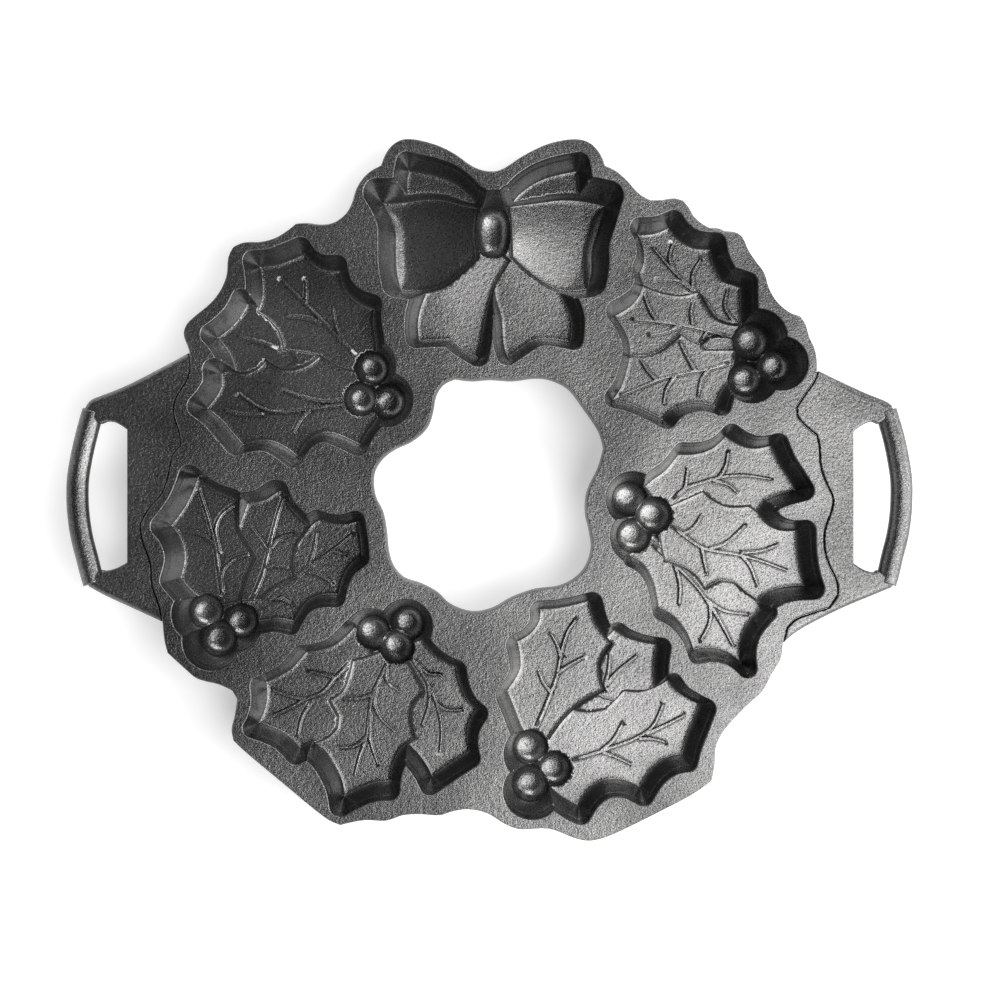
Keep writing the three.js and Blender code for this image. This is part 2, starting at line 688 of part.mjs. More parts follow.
// The metal round a berry's pit, with the flat pad that the pan rests on
function berryBody([column, row, radius, length = radius]) {
  const rim = baseThickness + berryBowlHeight;
  const reach = lengthOf(radius, plateTop - rim) + cupWall;
  const round = bowlArc(reach, rim, rim).filter((point) => point.x > berryPadRadius);
  const profile = [new THREE.Vector2(0, 0), new THREE.Vector2(berryPadRadius, 0), ...round];
  profile.push(new THREE.Vector2(reach + (plateUnder - rim) * draft, plateUnder));
  profile.push(new THREE.Vector2(0, plateUnder));
  return turnedSolid(profile, planPoint([column, row], deepCupDepth), length / radius);
}

// The real length of a photographed one that lies depth under the plate's top
function lengthOf(pixels, depth) {
  return pixels * (1 + depth / cameraHeight) * mmPerPixel;
}

// A quarter ellipse from the axis up to its rim
function bowlArc(reach, height, rim) {
  return Array.from({ length: bowlSteps + 1 }, (unused, step) => {
    const angle = (Math.PI / 2) * (step / bowlSteps);
    return new THREE.Vector2(reach * Math.sin(angle), rim - height * Math.cos(angle));
  });
}

// The shallow leaves are cut first, so that a leaf in front cuts off the veins that it covers
function cupSolid({ leaves, berries }) {
  const bodies = joined([...leaves.map(leafBody), ...berries.map(berryBody)]);
  const hollowed = [...leaves].reverse().reduce(
    (cup, leaf) => joined([
      cup.subtract(leafHollow(leaf)),
      ...leaf.veins.map((centreLine) => leafVein(centreLine, leaf.depth)),
    ]),
    bodies,
  );
  return hollowed.subtract(joined(berries.map(berryHollow)));
}

// The wavy plate, with its opening and the mouths of all the cups
function plateSolid() {
  const edge = planOutline(wreathEdgePixels);
  const opening = planOutline(middleOpeningPixels).reverse();
  const leafHollows = cups.flatMap(({ leaves }) => leaves.map(leafHollow));
  const berryHollows = cups.flatMap(({ berries }) => berries.map(berryHollow));
  const mouths = joined([...leafHollows, ...berryHollows]);
  return slab(edge, [opening], plateUnder, plateTop, edgeBevel).subtract(mouths);
}

// An ear lies a little lower than the plate and is cut back to the plate's edge
function earSolid(pixels) {
  const ring = offsetOutline(planOutline(wreathEdgePixels), seamGap);
  const column = loftedSolid([ring, ring], [plateUnder - cutOverrun, plateTop + cutOverrun]);
  return slab(planOutline(pixels), [], plateUnder, plateTop - earDrop, earBevel).subtract(column);
}

// A grip is an oval bar swept along its centre line and trimmed to the ear's two prong ends
function gripSolid(pixels, prongEnds) {
  const height = plateTop - gripMiddleDepth;
  const points = pixels.map((pixel) => planPoint(pixel, gripMiddleDepth));
  const path = new THREE.CatmullRomCurve3(points.map(({ x, y }) => new THREE.Vector3(x, y, height)));
  const oval = new THREE.EllipseCurve(0, 0, gripHeight / 2, gripWidth / 2).getPoints(gripSides).slice(1);
  const bar = new THREE.ExtrudeGeometry(new THREE.Shape(oval), { extrudePath: path, steps: gripSteps });
  const middle = points[Math.floor(points.length / 2)];
  const blocks = Object.values(prongEnds)
    .map((ends) => blockBeyond(ends.map((pixel) => planPoint(pixel)), middle));
  return solidOf(bar).subtract(joined(blocks));
}

// The block on the far side of a prong's end line, seen from the middle of the grip
function blockBeyond([start, end], middle) {
  const along = end.clone().sub(start).normalize();
  const side = Math.sign(along.cross(middle.clone().sub(start)));
  const away = new THREE.Vector2(along.y, -along.x).multiplyScalar(side);
  const corner = (point, sideways, back) => point.clone()
    .addScaledVector(along, sideways)
    .addScaledVector(away, back);
  const outline = [
    corner(start, -gripWidth, -seamGap),
    corner(end, gripWidth, -seamGap),
    corner(end, gripWidth, gripWidth),
    corner(start, -gripWidth, gripWidth),
  ];
  const ring = THREE.ShapeUtils.isClockWise(outline) ? outline.reverse() : outline;
  return loftedSolid([ring, ring], [plateUnder - gripHeight, plateTop + cutOverrun]);
}

const pan = new THREE.Group();

// A named mesh of a solid, with its own iron finish
function addPiece(name, solid) {
  const { numProp, vertProperties, triVerts } = solid.getMesh();
  const geometry = new THREE.BufferGeometry();
  geometry.setAttribute('position', new THREE.BufferAttribute(vertProperties, numProp));
  geometry.setIndex(new THREE.BufferAttribute(triVerts, 1));
  const iron = new THREE.MeshStandardMaterial({
    color: 0x3b3c3f,
    roughness: 0.55,
    metalness: 0.35,
    flatShading: true,
  });
  const piece = new THREE.Mesh(geometry, iron);
  piece.name = name;
  pan.add(piece);
}

const cups = [...hollyCups, bowCup];
addPiece('wreath_plate', plateSolid());
cups.forEach((cup) => addPiece(cup.name, cupSolid(cup)));
addPiece('left_ear', earSolid(leftEarPixels));
addPiece('right_ear', earSolid(rightEarPixels));
addPiece('left_grip', gripSolid(leftGripPixels, leftProngEnds));
addPiece('right_grip', gripSolid(rightGripPixels, rightProngEnds));

export default pan;
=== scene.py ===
"""A cast iron cakelet pan in the shape of a holly wreath, as a dressed model of single castings.

Lengths are millimetres until a mesh is made, which is in metres. The origin is the bottom centre of the
pan's box, +X runs to the right grip, +Y to the bow and +Z up.
"""
import math

import bpy
import numpy as np
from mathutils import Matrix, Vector
from mathutils.geometry import delaunay_2d_cdt


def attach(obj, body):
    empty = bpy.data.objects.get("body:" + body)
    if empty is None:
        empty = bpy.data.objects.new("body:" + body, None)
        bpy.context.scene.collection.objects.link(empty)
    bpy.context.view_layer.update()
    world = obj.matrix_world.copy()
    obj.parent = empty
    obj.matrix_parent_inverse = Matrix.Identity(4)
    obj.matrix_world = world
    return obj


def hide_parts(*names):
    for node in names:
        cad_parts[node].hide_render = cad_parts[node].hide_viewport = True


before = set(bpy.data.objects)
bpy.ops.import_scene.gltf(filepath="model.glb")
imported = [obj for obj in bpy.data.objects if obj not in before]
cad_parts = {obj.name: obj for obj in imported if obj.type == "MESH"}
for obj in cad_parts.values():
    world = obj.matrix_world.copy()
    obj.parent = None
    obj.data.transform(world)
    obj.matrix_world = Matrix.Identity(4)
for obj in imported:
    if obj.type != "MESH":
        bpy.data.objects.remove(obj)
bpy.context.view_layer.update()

MM = 0.001
FAR = 60.0

# The pan's main sizes
PAN_LENGTH = 400.0
PLATE_TOP = 32.0
PLATE_UNDER = 27.0
PLATE_WAIST = 28.0
BASE_THICKNESS = 4.0
CUP_WALL = 3.2
DRAFT = math.tan(math.radians(13.5))

# Depths of the floors under the plate's top
DEEP, FRONT, MIDDLE, BACK, LENS = 28.0, 21.0, 19.9, 18.8, 17.7

# Berries: the rim and the bottom of their bowls, and the flat pad under them
BERRY_RIM = 14.0
BERRY_FLOOR = 4.0
SMALL_BERRY_FLOOR = 5.6
BERRY_PAD = 5.5
BERRY_POWER = 2.7
KNOT_POWER = 2.5

# Veins
VEIN_WIDTH = 2.35
VEIN_TIP_SHARE = 0.72
VEIN_HEIGHT = 1.25
VEIN_SIDE = 0.5
VEIN_RUN_IN = 4.0
GROOVE_WIDTH = 0.65
GROOVE_DEPTH = 0.2

# How the floors of the bow's loops and tails rise: the height, the pixel that it is measured from, the
# distance where it is whole, and the run over which it fades
BOW_SLOPES = [
    (5.4, (493, 235), 6.0, 40.0), (6.2, (493, 235), 6.0, 40.0),
    (5.6, (428, 250), 8.0, 48.0), (3.4, (493, 235), 12.0, 46.0), None, None,
]
BOW_SLOPE_POWER = 1.4

# How the floors curl up beside the walls, and the larger curl at the outer ends of the bow's loops
CURL_HEIGHT = 0.3
CURL_WIDTH = 2.2
LOOP_CURL_HEIGHT = 1.5
LOOP_CURL_WIDTH = 5.0
LOOP_END_START = 25.0
LOOP_END_RUN = 12.0
LOOP_MIDDLE = -5.0
LOOP_END_HALF = 23.0
LOOP_END_FADE = 12.0

# Roundings
MOUTH_ROUND = 1.9
FLOOR_ROUND = 2.4
RIDGE_ROUND = 0.45
EDGE_ROUND = 3.2
EDGE_SLOPE = 6.0
UNDER_ROUND = 5.0
UNDER_EDGE_SLOPE = 1.6
UNDER_EDGE_ROUND = 0.6

# Ears and grips
EAR_TOP = 30.8
EAR_ROUND = 3.1
EAR_CRISP = 0.9
EAR_CRISP_REACH = 1.0
EAR_CRISP_FADE = 4.0
EAR_CORNER = 28.0
EAR_UNDER_SLOPE = 1.2
EAR_SEAM = 0.05
EAR_SEAM_ROUND = 0.35
GRIP_WIDTH = 10.4
GRIP_HEIGHT = 9.2
GRIP_MIDDLE = 26.6
GRIP_SIDES = 40
GRIP_STEPS = 110

# Steps of the grids and of the points along the lines, the lines' clearance from the rims, and how far a
# part's line may lie above the cup's surface and still be followed
GRID_STEP = 0.5
LINE_STEP = 0.7
LOOSE_STEP = 1.7
CLEARANCE = 0.22
LINE_STRAY = 0.3

# The lines that the meshes follow: how far they lie outside a floor's edge, their heights on the walls
# of a cup, on its outer skin and round its mouth, and how far they lie inside the edges of plate and ears
LEAF_LEVELS = (-2.2, -1.6, -1.0, -0.55, -0.2, 0.1, 0.4, 0.8)
LOOP_LEVELS = (-5.0, -4.0, -3.1) + LEAF_LEVELS
WALL_LEVELS = (24.5, 21.0, 17.5)
SKIN_LEVELS = (1.0, 3.0, 6.0, 9.0, 12.0, 16.0, 20.0, 24.0)
MOUTH_LEVELS = (29.3, 30.6, 31.4, 32.2, 33.2, 34.3)
EDGE_LEVELS = (0.25, 0.45, 0.65, 0.9, 1.25)
UNDER_EDGE_LEVELS = (0.35, 0.9)
EAR_LEVELS = (0.15, 0.4, 0.8, 1.3, 1.9, 2.6, 3.3)
SEAM_LEVELS = (0.36, 0.7)

# The same for a vein, from its crest to its groove, and for the circles of a berry, as shares
VEIN_SHARES = (0.0, 0.35, 0.65, 1.0, 1.7, 2.4)
BERRY_SHARES = (0.2, 0.4, 0.58, 0.72, 0.84, 0.93, 0.985, 1.03)
CIRCLE_POINTS = 73

# How far the boxes of leaves, berries, cups and outlines reach past them
LEAF_REACH = 8.0
BERRY_REACH = 14.0
CUP_REACH = 10.0
CUP_MARGIN = 9.0
SKIN_MARGIN = 14.0
OUTLINE_MARGIN = 2.0

# The photograph's frame: it looks straight down on the plate from CAMERA_HEIGHT above it
VIEW_CENTRE = (492.0, 492.0)
PAN_CENTRE = (489.5, 489.95)
PAN_WIDTH_PIXELS = 846.0
CAMERA_HEIGHT = 720.0
GRIP_DEPTH = PLATE_TOP - GRIP_MIDDLE
MM_PER_PIXEL = PAN_LENGTH / (PAN_WIDTH_PIXELS * (1 + GRIP_DEPTH / CAMERA_HEIGHT))
IMAGE_PIXELS = 984.0
CLIP_START = 0.01

# The iron's two finishes: the darker and lighter grey, and the height of the grain in metres. The cups'
# greys are lighter than the plate's as painted light, for the brighter light their floors catch; their
# lower grain is their own
PLATE_FINISH = (0.085, 0.19, 0.00031)
CUP_LIT_FINISH = (0.14, 0.24, 0.0002)
WARMTH = (1.0, 0.992, 0.98)
METALLIC = 0.88

# Its noises: ripples per metre, detail and roughness
GRAIN = (1250.0, 3.0, 0.6)
PEBBLES = (520.0, 2.0, 0.5)
PATCHES = (22.0, 4.0, 0.55)
SPECKS = (1500.0, 2.0, 0.6)

# Greys that are mixed in, and ranges of a value with what they turn into
SPECK_GREY = 0.38
PIT_GREY = 0.03
# Painted shade: crevices, found by ambient occlusion, and steep faces are darkened towards this near black
# grey
PAINTED_SHADE_GREY = 0.012
PATCH_RANGE = (0.35, 0.65, 0.0, 1.0)
SPECK_RANGE = (0.52, 0.7, 0.0, 0.55)
PIT_RANGE = (0.30, 0.46, 1.0, 0.0)
# Painted shade: how open a place is and how upright its face is, turned into shares of that dark grey
CREVICE_SHADE_RANGE = (0.45, 0.9, 0.75, 0.0)
STEEP_SHADE_RANGE = (0.2, 0.6, 0.5, 0.0)
ROUGHNESS_RANGE = (0.3, 0.7, 0.29, 0.23)
WALL_GRAIN_RANGE = (0.3, 0.9, 0.2, 1.0)
GRAIN_SHARE = 0.65
PEBBLE_SHARE = 0.6
# The reach and samples of the ambient occlusion that finds the crevices for the painted shade
CREVICE_SHADE_REACH = 0.0028
CREVICE_SHADE_SAMPLES = 6

# The floor, in metres: its half side, and the distances over which its glow turns into plain white
FLOOR_HALF = 6.0
FLOOR_GREY = 0.8
FLOOR_ROUGHNESS = 0.9
FLOOR_GLOW = (0.4, 1.3, 0.5, 1.0)

# The world: its even fill, and the heights of a direction where white walls turn into a dark ceiling
FILL = 0.01
WALL_TOP = 0.5
CEILING = 0.72

# The lamps: name, place, aim and size in metres, and power. The light comes from the right, so that the
# pan's left half stays dark
LAMPS = [
    ("softbox", (0.8, -0.46, 1.31), (0.12, -0.05, 0.0), (1.3, 1.5), 29.0),
    ("low_panel", (1.35, -0.2, 0.5), (0.1, 0.0, 0.03), (1.7, 0.7), 14.0),
    ("back_panel", (0.3, 1.1, 0.9), (0.0, 0.1, 0.0), (1.0, 0.5), 11.0),
]

# Points of the outlines, in the photograph's pixels
WREATH_EDGE = [
    (345, 212), (351, 201), (355, 188), (361, 178), (369, 170), (380, 164), (386, 150), (394, 141.5),
    (404, 137.3), (418, 138), (438, 143.5), (455, 152), (472, 164), (485, 169), (497, 169), (507, 164.5),
    (518, 157), (532, 149), (548, 142), (565, 138), (580, 137.5), (592, 142), (601, 152), (606, 164),
    (618, 170), (629, 180), (640, 192), (651, 198.5), (663, 198), (675, 196.5), (684, 199), (690, 206),
    (696, 216), (708, 225), (722, 229), (736, 230.5), (744, 236), (750, 249), (758, 261), (766, 272),
    (771, 288), (779, 301), (791, 311), (801, 314.5), (807, 323), (811, 336), (817, 350), (818.8, 369),
    (815, 381), (806, 394), (797.5, 407), (798.5, 417), (808, 427), (818, 435), (820.5, 448), (821.5, 465),
    (826, 480), (834, 499), (832, 512), (826.8, 526), (825, 541), (828, 560), (838, 583), (839, 595),
    (830, 608.5), (814, 613), (797, 619.5), (788, 628), (784.7, 644), (782, 660), (773, 675), (764, 692),
    (750, 705), (737, 718), (723, 735), (717, 749), (716, 765), (713, 782), (695, 795), (669, 809),
    (635, 826), (609, 838), (590, 842.6), (575, 840), (549, 830.5), (520, 831), (505, 826), (487, 815),
    (468, 811), (453, 813), (440, 817), (420, 816), (403, 817), (386, 822.5), (364, 822), (340, 827),
    (325, 820), (282, 785), (246, 755), (232, 742), (230, 730), (233, 717), (235.5, 700), (231, 692),
    (218, 686), (196, 680), (183, 669.5), (166, 654), (162.5, 640), (160.7, 622.5), (158, 606), (151, 586),
    (149, 562), (141, 540), (139, 525), (148, 509), (161, 494), (168, 472), (171, 457), (180, 446),
    (178, 430), (172.5, 411), (175, 398), (187, 378), (188.8, 362), (187, 349), (182, 335), (184, 325),
    (191, 317), (209, 302), (219, 289), (225, 274), (226.5, 257), (232, 245.5), (243, 240.8), (261, 240),
    (275, 236), (287, 228.5), (295, 222), (306, 221.3), (322, 223), (334, 220.5),
]
MIDDLE_OPENING = [
    (455, 379), (443, 385), (436, 396), (433, 412), (427, 428), (412, 441.5), (395, 449.5), (382, 459.5),
    (374, 474), (375, 495), (383, 512), (386.5, 530), (389, 553), (394, 567), (404, 577.5), (420, 583),
    (437, 592), (450, 604), (472, 611.6), (492, 608), (512, 597), (535, 589), (558, 586), (574, 578.5),
    (585.5, 566), (591, 548), (589, 531), (585, 512), (587, 491), (598, 467.5), (603.5, 448), (598, 430.5),
    (582, 407), (568, 389), (550, 380), (534, 378.3), (512, 381), (490, 379.7), (472, 381),
]
LEFT_EAR = [
    (188.4, 351.2), (170, 361.4), (131.5, 381.5), (112.4, 390), (99, 395), (89.4, 399), (83.7, 405.6),
    (81.2, 415.5), (100, 424), (106, 421.5), (114, 422.5), (125.4, 429.5), (125.4, 562.5), (114, 568.5),
    (104, 571), (101, 570), (82, 579), (86.6, 587), (102.8, 596), (135.4, 611), (160.6, 622.7), (178, 620),
    (178, 560), (170, 520), (190, 470), (200, 430), (200, 360),
]
RIGHT_EAR = [
    (820.5, 370), (835, 377.2), (866.8, 392), (887.8, 400.5), (894, 404.7), (898, 415.5), (879, 424),
    (873, 421.5), (866, 424), (855.6, 431), (855.6, 563.6), (866, 570), (875, 572.5), (878, 570),
    (898.5, 579), (894, 588), (877, 595), (843.6, 609), (810, 625.7), (795, 635), (784.7, 644), (770, 640),
    (780, 600), (800, 560), (800, 480), (780, 410), (800, 380),
]

# The side of each ear's hand opening, whose edge is crisp
LEFT_HAND_SIDE = [
    (100, 424), (106, 421.5), (114, 422.5), (125.4, 429.5), (125.4, 562.5), (114, 568.5), (101, 570),
]
RIGHT_HAND_SIDE = [
    (879, 424), (873, 421.5), (866, 424), (855.6, 431), (855.6, 563.6), (866, 570), (878, 570),
]

# The centre lines of the grips, at the depth of their middle
LEFT_GRIP = [
    (93.4, 411), (90.6, 420), (86, 437), (81.3, 458), (77.9, 480), (77.6, 502), (79.2, 521), (82.1, 538.5),
    (86.6, 556), (91.4, 574.5), (94, 583),
]
RIGHT_GRIP = [
    (885.8, 411), (888.6, 420), (893.5, 437), (898, 458), (901.2, 480), (901.3, 502), (899.8, 521),
    (896.8, 538.5), (892.3, 556), (888, 574.5), (885.4, 583),
]

# The leaves of each cup, or the bow's loops and tails: their depth, outline and veins
UPPER_LEFT_LEAVES = [
    (FRONT, [
        (221.2, 373), (221.5, 386), (216, 397), (206.5, 408.5), (221, 420), (233, 434), (243, 445.5),
        (256, 442), (271, 441.5), (285, 447.5), (298, 457.5), (306, 444), (317, 435.5), (329, 433),
        (343, 437), (361, 446), (368, 433), (380, 415), (384, 392), (373, 376), (355, 371.5), (344, 369),
        (333, 364), (320, 355.7), (309, 364.5), (296, 369.5), (281, 369.7), (266, 361), (256, 370),
        (243, 374), (231, 371),
    ], [
        [(345, 400), (326, 401.5), (305, 397.5), (285, 390.5)],
        [(344, 404), (325, 406.5), (302, 410), (274, 411.5), (257, 406), (240, 394)],
        [(262, 413.5), (245, 414.5), (226, 410.5)], [(310, 409), (301, 418), (294, 431)],
    ]),
    (MIDDLE, [
        (259.5, 266.8), (262, 281), (262, 298), (257.5, 312), (269, 320), (279, 332), (284, 350),
        (301, 351.5), (320, 355.5), (344, 385), (380, 380), (377, 343), (374, 324), (375, 309), (359, 303),
        (346, 290), (341, 271), (326, 270.5), (314, 264.5), (305.7, 253.7), (291, 260), (277, 265),
    ], [
        [(357, 355), (344, 343.5), (328, 327), (310, 308.5), (296, 294.5), (281.8, 280)],
        [(305.5, 302), (306.5, 290), (305.7, 281)], [(320, 322), (306, 317.5), (288, 316)],
        [(343, 341), (336, 326), (332.8, 308.5)],
    ]),
    (BACK, [
        (247.5, 303.5), (240, 317.5), (229, 329), (217.3, 338), (227, 350), (233, 362), (237.5, 375),
        (255, 390), (284, 372), (298, 362), (290, 345), (283, 330), (268, 312),
    ], [
        [(279, 349), (262, 342.5), (240.5, 337)],
    ]),
    (LENS, [
        (262, 322), (272, 342), (277, 362), (290, 374), (306, 370), (318, 358), (300, 348), (284, 344),
        (277, 330),
    ], []),
]
LEFT_LEAVES = [
    (FRONT, [
        (198, 476), (194, 488), (186, 505), (170.8, 525.5), (180, 538), (184.7, 556), (180, 578),
        (199, 597), (222, 606), (241, 602), (245, 586), (256, 558), (247, 542), (240, 531), (238.3, 516),
        (238.5, 499), (226, 495), (212, 487.5),
    ], [
        [(222.5, 592), (219, 571), (216, 550), (211, 527), (205, 507), (199.5, 491)],
        [(213, 543), (200, 533.5), (182, 530)], [(219, 551), (216, 528), (221.5, 515), (232, 506)],
        [(222, 589), (221.5, 573), (232, 560.5), (247.5, 554.5)],
    ]),
    (MIDDLE, [
        (247.8, 502.5), (244, 513), (239, 527), (232, 560), (238, 600), (262, 600.5), (270, 592.5),
        (281, 584.5), (296, 578), (294.3, 562), (297, 546.5), (304, 535.5), (310.5, 526), (300, 517),
        (290, 505.5), (283.5, 490.5), (279.5, 490.5), (265, 499.5),
    ], [
        [(252, 600), (263, 574), (270, 546), (277, 518), (283, 499)],
        [(268.5, 552), (260, 538.5), (252, 528.5)], [(271, 547), (278, 538.5), (292, 533.5)],
        [(266, 567), (277, 565.5), (287, 568)],
    ]),
    (BACK, [
        (320.7, 519), (311.5, 525), (296, 545), (285, 575), (262, 595), (240, 605), (244, 622),
        (262, 621.2), (278, 619), (295, 622), (301, 611), (309, 601), (322, 595.5), (339.5, 595),
        (343, 580), (350, 566.5), (363, 556), (361.5, 538), (358.5, 520), (345, 523.5), (332, 522.5),
    ], [
        [(263, 605), (276, 595), (290, 584), (307, 568), (330, 552), (351.5, 534.5)],
        [(308, 567), (313, 552), (316.5, 533)], [(333, 550), (345, 554.5)],
        [(306, 571), (319, 574.5), (331, 583)], [(272, 598.5), (281, 598.5), (290, 603.5)],
    ]),
]
LOWER_LEFT_LEAVES = [
    (FRONT, [
        (315, 743), (328, 737), (337.5, 728), (339, 716), (330.4, 700), (343, 690.5), (349, 676),
        (352.8, 660.5), (366, 657), (380, 652), (394, 646), (408, 660), (418, 678), (425, 691), (414, 703),
        (411.5, 717), (415, 738.5), (402, 748.5), (394.5, 762), (391.7, 781.5), (375, 783), (360, 788.5),
        (344.4, 797), (341.5, 781), (335, 766), (326, 752),
    ], [
        [(387, 664), (379, 680), (372, 696), (369, 716), (366, 740)],
        [(386, 666), (387, 681), (399, 691.5)], [(377, 687), (374, 703), (380, 717), (394, 731)],
        [(370, 712), (370, 739), (377.6, 763)], [(365, 741), (359, 758), (355, 774)],
        [(371, 694.5), (360, 698), (345, 698.6)], [(366, 737), (354, 746), (339.5, 747.5)],
    ]),
    (MIDDLE, [
        (422.4, 639), (430, 649), (442, 659), (457, 666), (460, 682), (467, 697.5), (478, 708), (470, 722),
        (468, 737), (470.5, 751), (454, 761.5), (441, 770.5), (431.5, 777), (426, 765.5), (418, 754.5),
        (408, 744), (385, 722), (390, 680), (395, 655), (408, 645),
    ], [
        [(413, 660), (422.5, 674), (432, 692), (438, 708), (441.5, 730), (440, 752)],
        [(416, 662), (427, 672.5), (440.6, 674.5)], [(429, 686), (429, 704), (422.4, 724)],
        [(437, 704), (447, 709.5), (460.5, 709.5)],
    ]),
    (BACK, [
        (355, 626), (345, 636.5), (334, 645), (320, 649.5), (306.5, 651), (300, 659), (291, 668.5),
        (279, 675.5), (266, 681.5), (267, 697), (264, 711), (258.5, 722.5), (272, 727), (286, 734),
        (300.5, 748.5), (314, 741.5), (340, 752), (362, 720), (370, 680), (372, 650), (366, 632),
    ], [
        [(349, 664), (334.5, 678), (322, 692), (305, 699), (290, 707.5), (274.8, 714.4)],
        [(305, 698.5), (291, 696.3), (273, 689.5)], [(334, 677), (322, 674), (310.4, 671.2)],
        [(311, 702), (302, 717), (298, 734)],
    ]),
]
LOWER_RIGHT_LEAVES = [
    (FRONT, [
        (539.4, 608.4), (538.5, 621), (530, 633), (516.4, 641), (519.5, 655), (519, 670), (506.5, 690),
        (513, 706), (521.5, 727), (532, 742), (549, 738), (559, 724), (573, 708.8), (586, 699), (604, 690),
        (600, 676), (600.5, 660), (611.3, 643.8), (600.5, 631), (594.5, 620), (589, 600), (572, 604.5),
        (556, 607.5),
    ], [
        [(536, 727), (546, 704), (556, 677), (561.5, 650), (567, 632), (574.5, 620.5)],
        [(560.5, 656), (557, 645), (551.6, 635)], [(550, 691), (543.5, 683), (538.6, 672)],
        [(558, 672), (571, 663.5), (583.5, 657)],
    ]),
    (MIDDLE, [
        (655, 686.5), (668, 678.8), (677, 690.5), (700, 703.5), (693, 722), (686, 740), (682.5, 754.5),
        (667, 758), (652, 769), (639.6, 787.6), (622, 780), (603, 780.5), (590, 789), (578.4, 806),
        (567, 800), (551, 787.5), (540, 765), (548, 739), (562, 720.5), (573, 709.3), (590, 711.5),
        (606, 708.5), (624, 690), (640, 691),
    ], [
        [(571, 760), (590, 754.5), (612, 747), (634, 738.5), (652, 726.5), (662.5, 705)],
        [(602, 750), (613, 739.5), (621.3, 724.7)], [(647, 733), (664, 725.5), (683.3, 715.5)],
        [(640, 738.5), (652, 738.5), (664, 741.5)], [(603, 752), (617, 757.5), (629.7, 763.7)],
    ]),
    (BACK, [
        (614.4, 629), (625, 636), (640, 641), (657.2, 643.8), (654.5, 664), (655, 686), (640, 700),
        (610, 700), (588, 690), (590, 660), (604, 640),
    ], [
        [(604, 687), (608, 672), (609.5, 655.5)], [(606, 684), (618, 671), (636, 655.8)],
    ]),
    (LENS, [
        (570, 712), (580, 697), (604, 684), (630, 686), (616, 712), (592, 718),
    ], []),
]
RIGHT_LEAVES = [
    (FRONT, [
        (757, 512), (765.8, 522.8), (779, 529.5), (796.5, 529.8), (797, 550), (800, 570), (804.8, 586),
        (784, 587.5), (769, 592), (757.5, 600.5), (746, 593), (734, 583), (720, 581), (704.4, 588.5),
        (697, 577), (684.5, 568), (664.6, 560.3), (660, 535), (662, 510), (673, 504.5), (688, 498),
        (703, 491.2), (714, 500.5), (728, 506.5), (749, 506),
    ], [
        [(671, 525), (690, 540), (706, 549), (735, 554), (760, 560.5), (785.7, 570)],
        [(683, 533.5), (693.5, 527), (701, 515.5)], [(710, 548.5), (727, 542), (744, 525.5)],
        [(701.5, 547), (703.5, 560), (706, 571)], [(741, 555), (750, 566), (756.7, 584)],
        [(742, 552.5), (761, 550.5), (775.7, 545)],
    ]),
    (MIDDLE, [
        (644.7, 486.5), (652, 479.5), (664, 471), (678, 454), (696, 453.5), (712, 448), (725.2, 435.8),
        (737, 443.5), (752, 448), (770.8, 445), (778, 462), (788, 477.5), (796, 490.5), (779, 495),
        (765, 500.5), (757, 511.5), (740, 530), (700, 520), (670, 515), (655, 500),
    ], [
        [(672, 500), (685, 488.5), (702, 482.5), (722, 477), (745, 475.5), (770, 479)],
        [(685, 488), (687, 470)], [(719, 477.5), (725.5, 465), (727.6, 453)],
        [(714, 480.5), (728, 485), (737.6, 493)],
    ]),
    (BACK, [
        (629, 556), (642, 563.5), (651, 577), (655.5, 592), (658, 607.5), (674, 617), (686, 632),
        (692.8, 650), (710, 648), (727, 652.5), (740.9, 664), (740, 645), (745.5, 627.5), (760.5, 609),
        (757, 601), (740, 580), (705, 575), (670, 552), (655, 535), (635, 540),
    ], [
        [(651.5, 543.5), (663, 553.5), (684, 573.5), (699, 590), (710, 606)],
        [(675, 565), (679.5, 585), (678.7, 603)], [(710, 605), (709.5, 622), (701, 639)],
        [(711, 606), (722, 625), (732.6, 645.5)], [(707, 600), (724, 610.5), (746.7, 614)],
    ]),
]
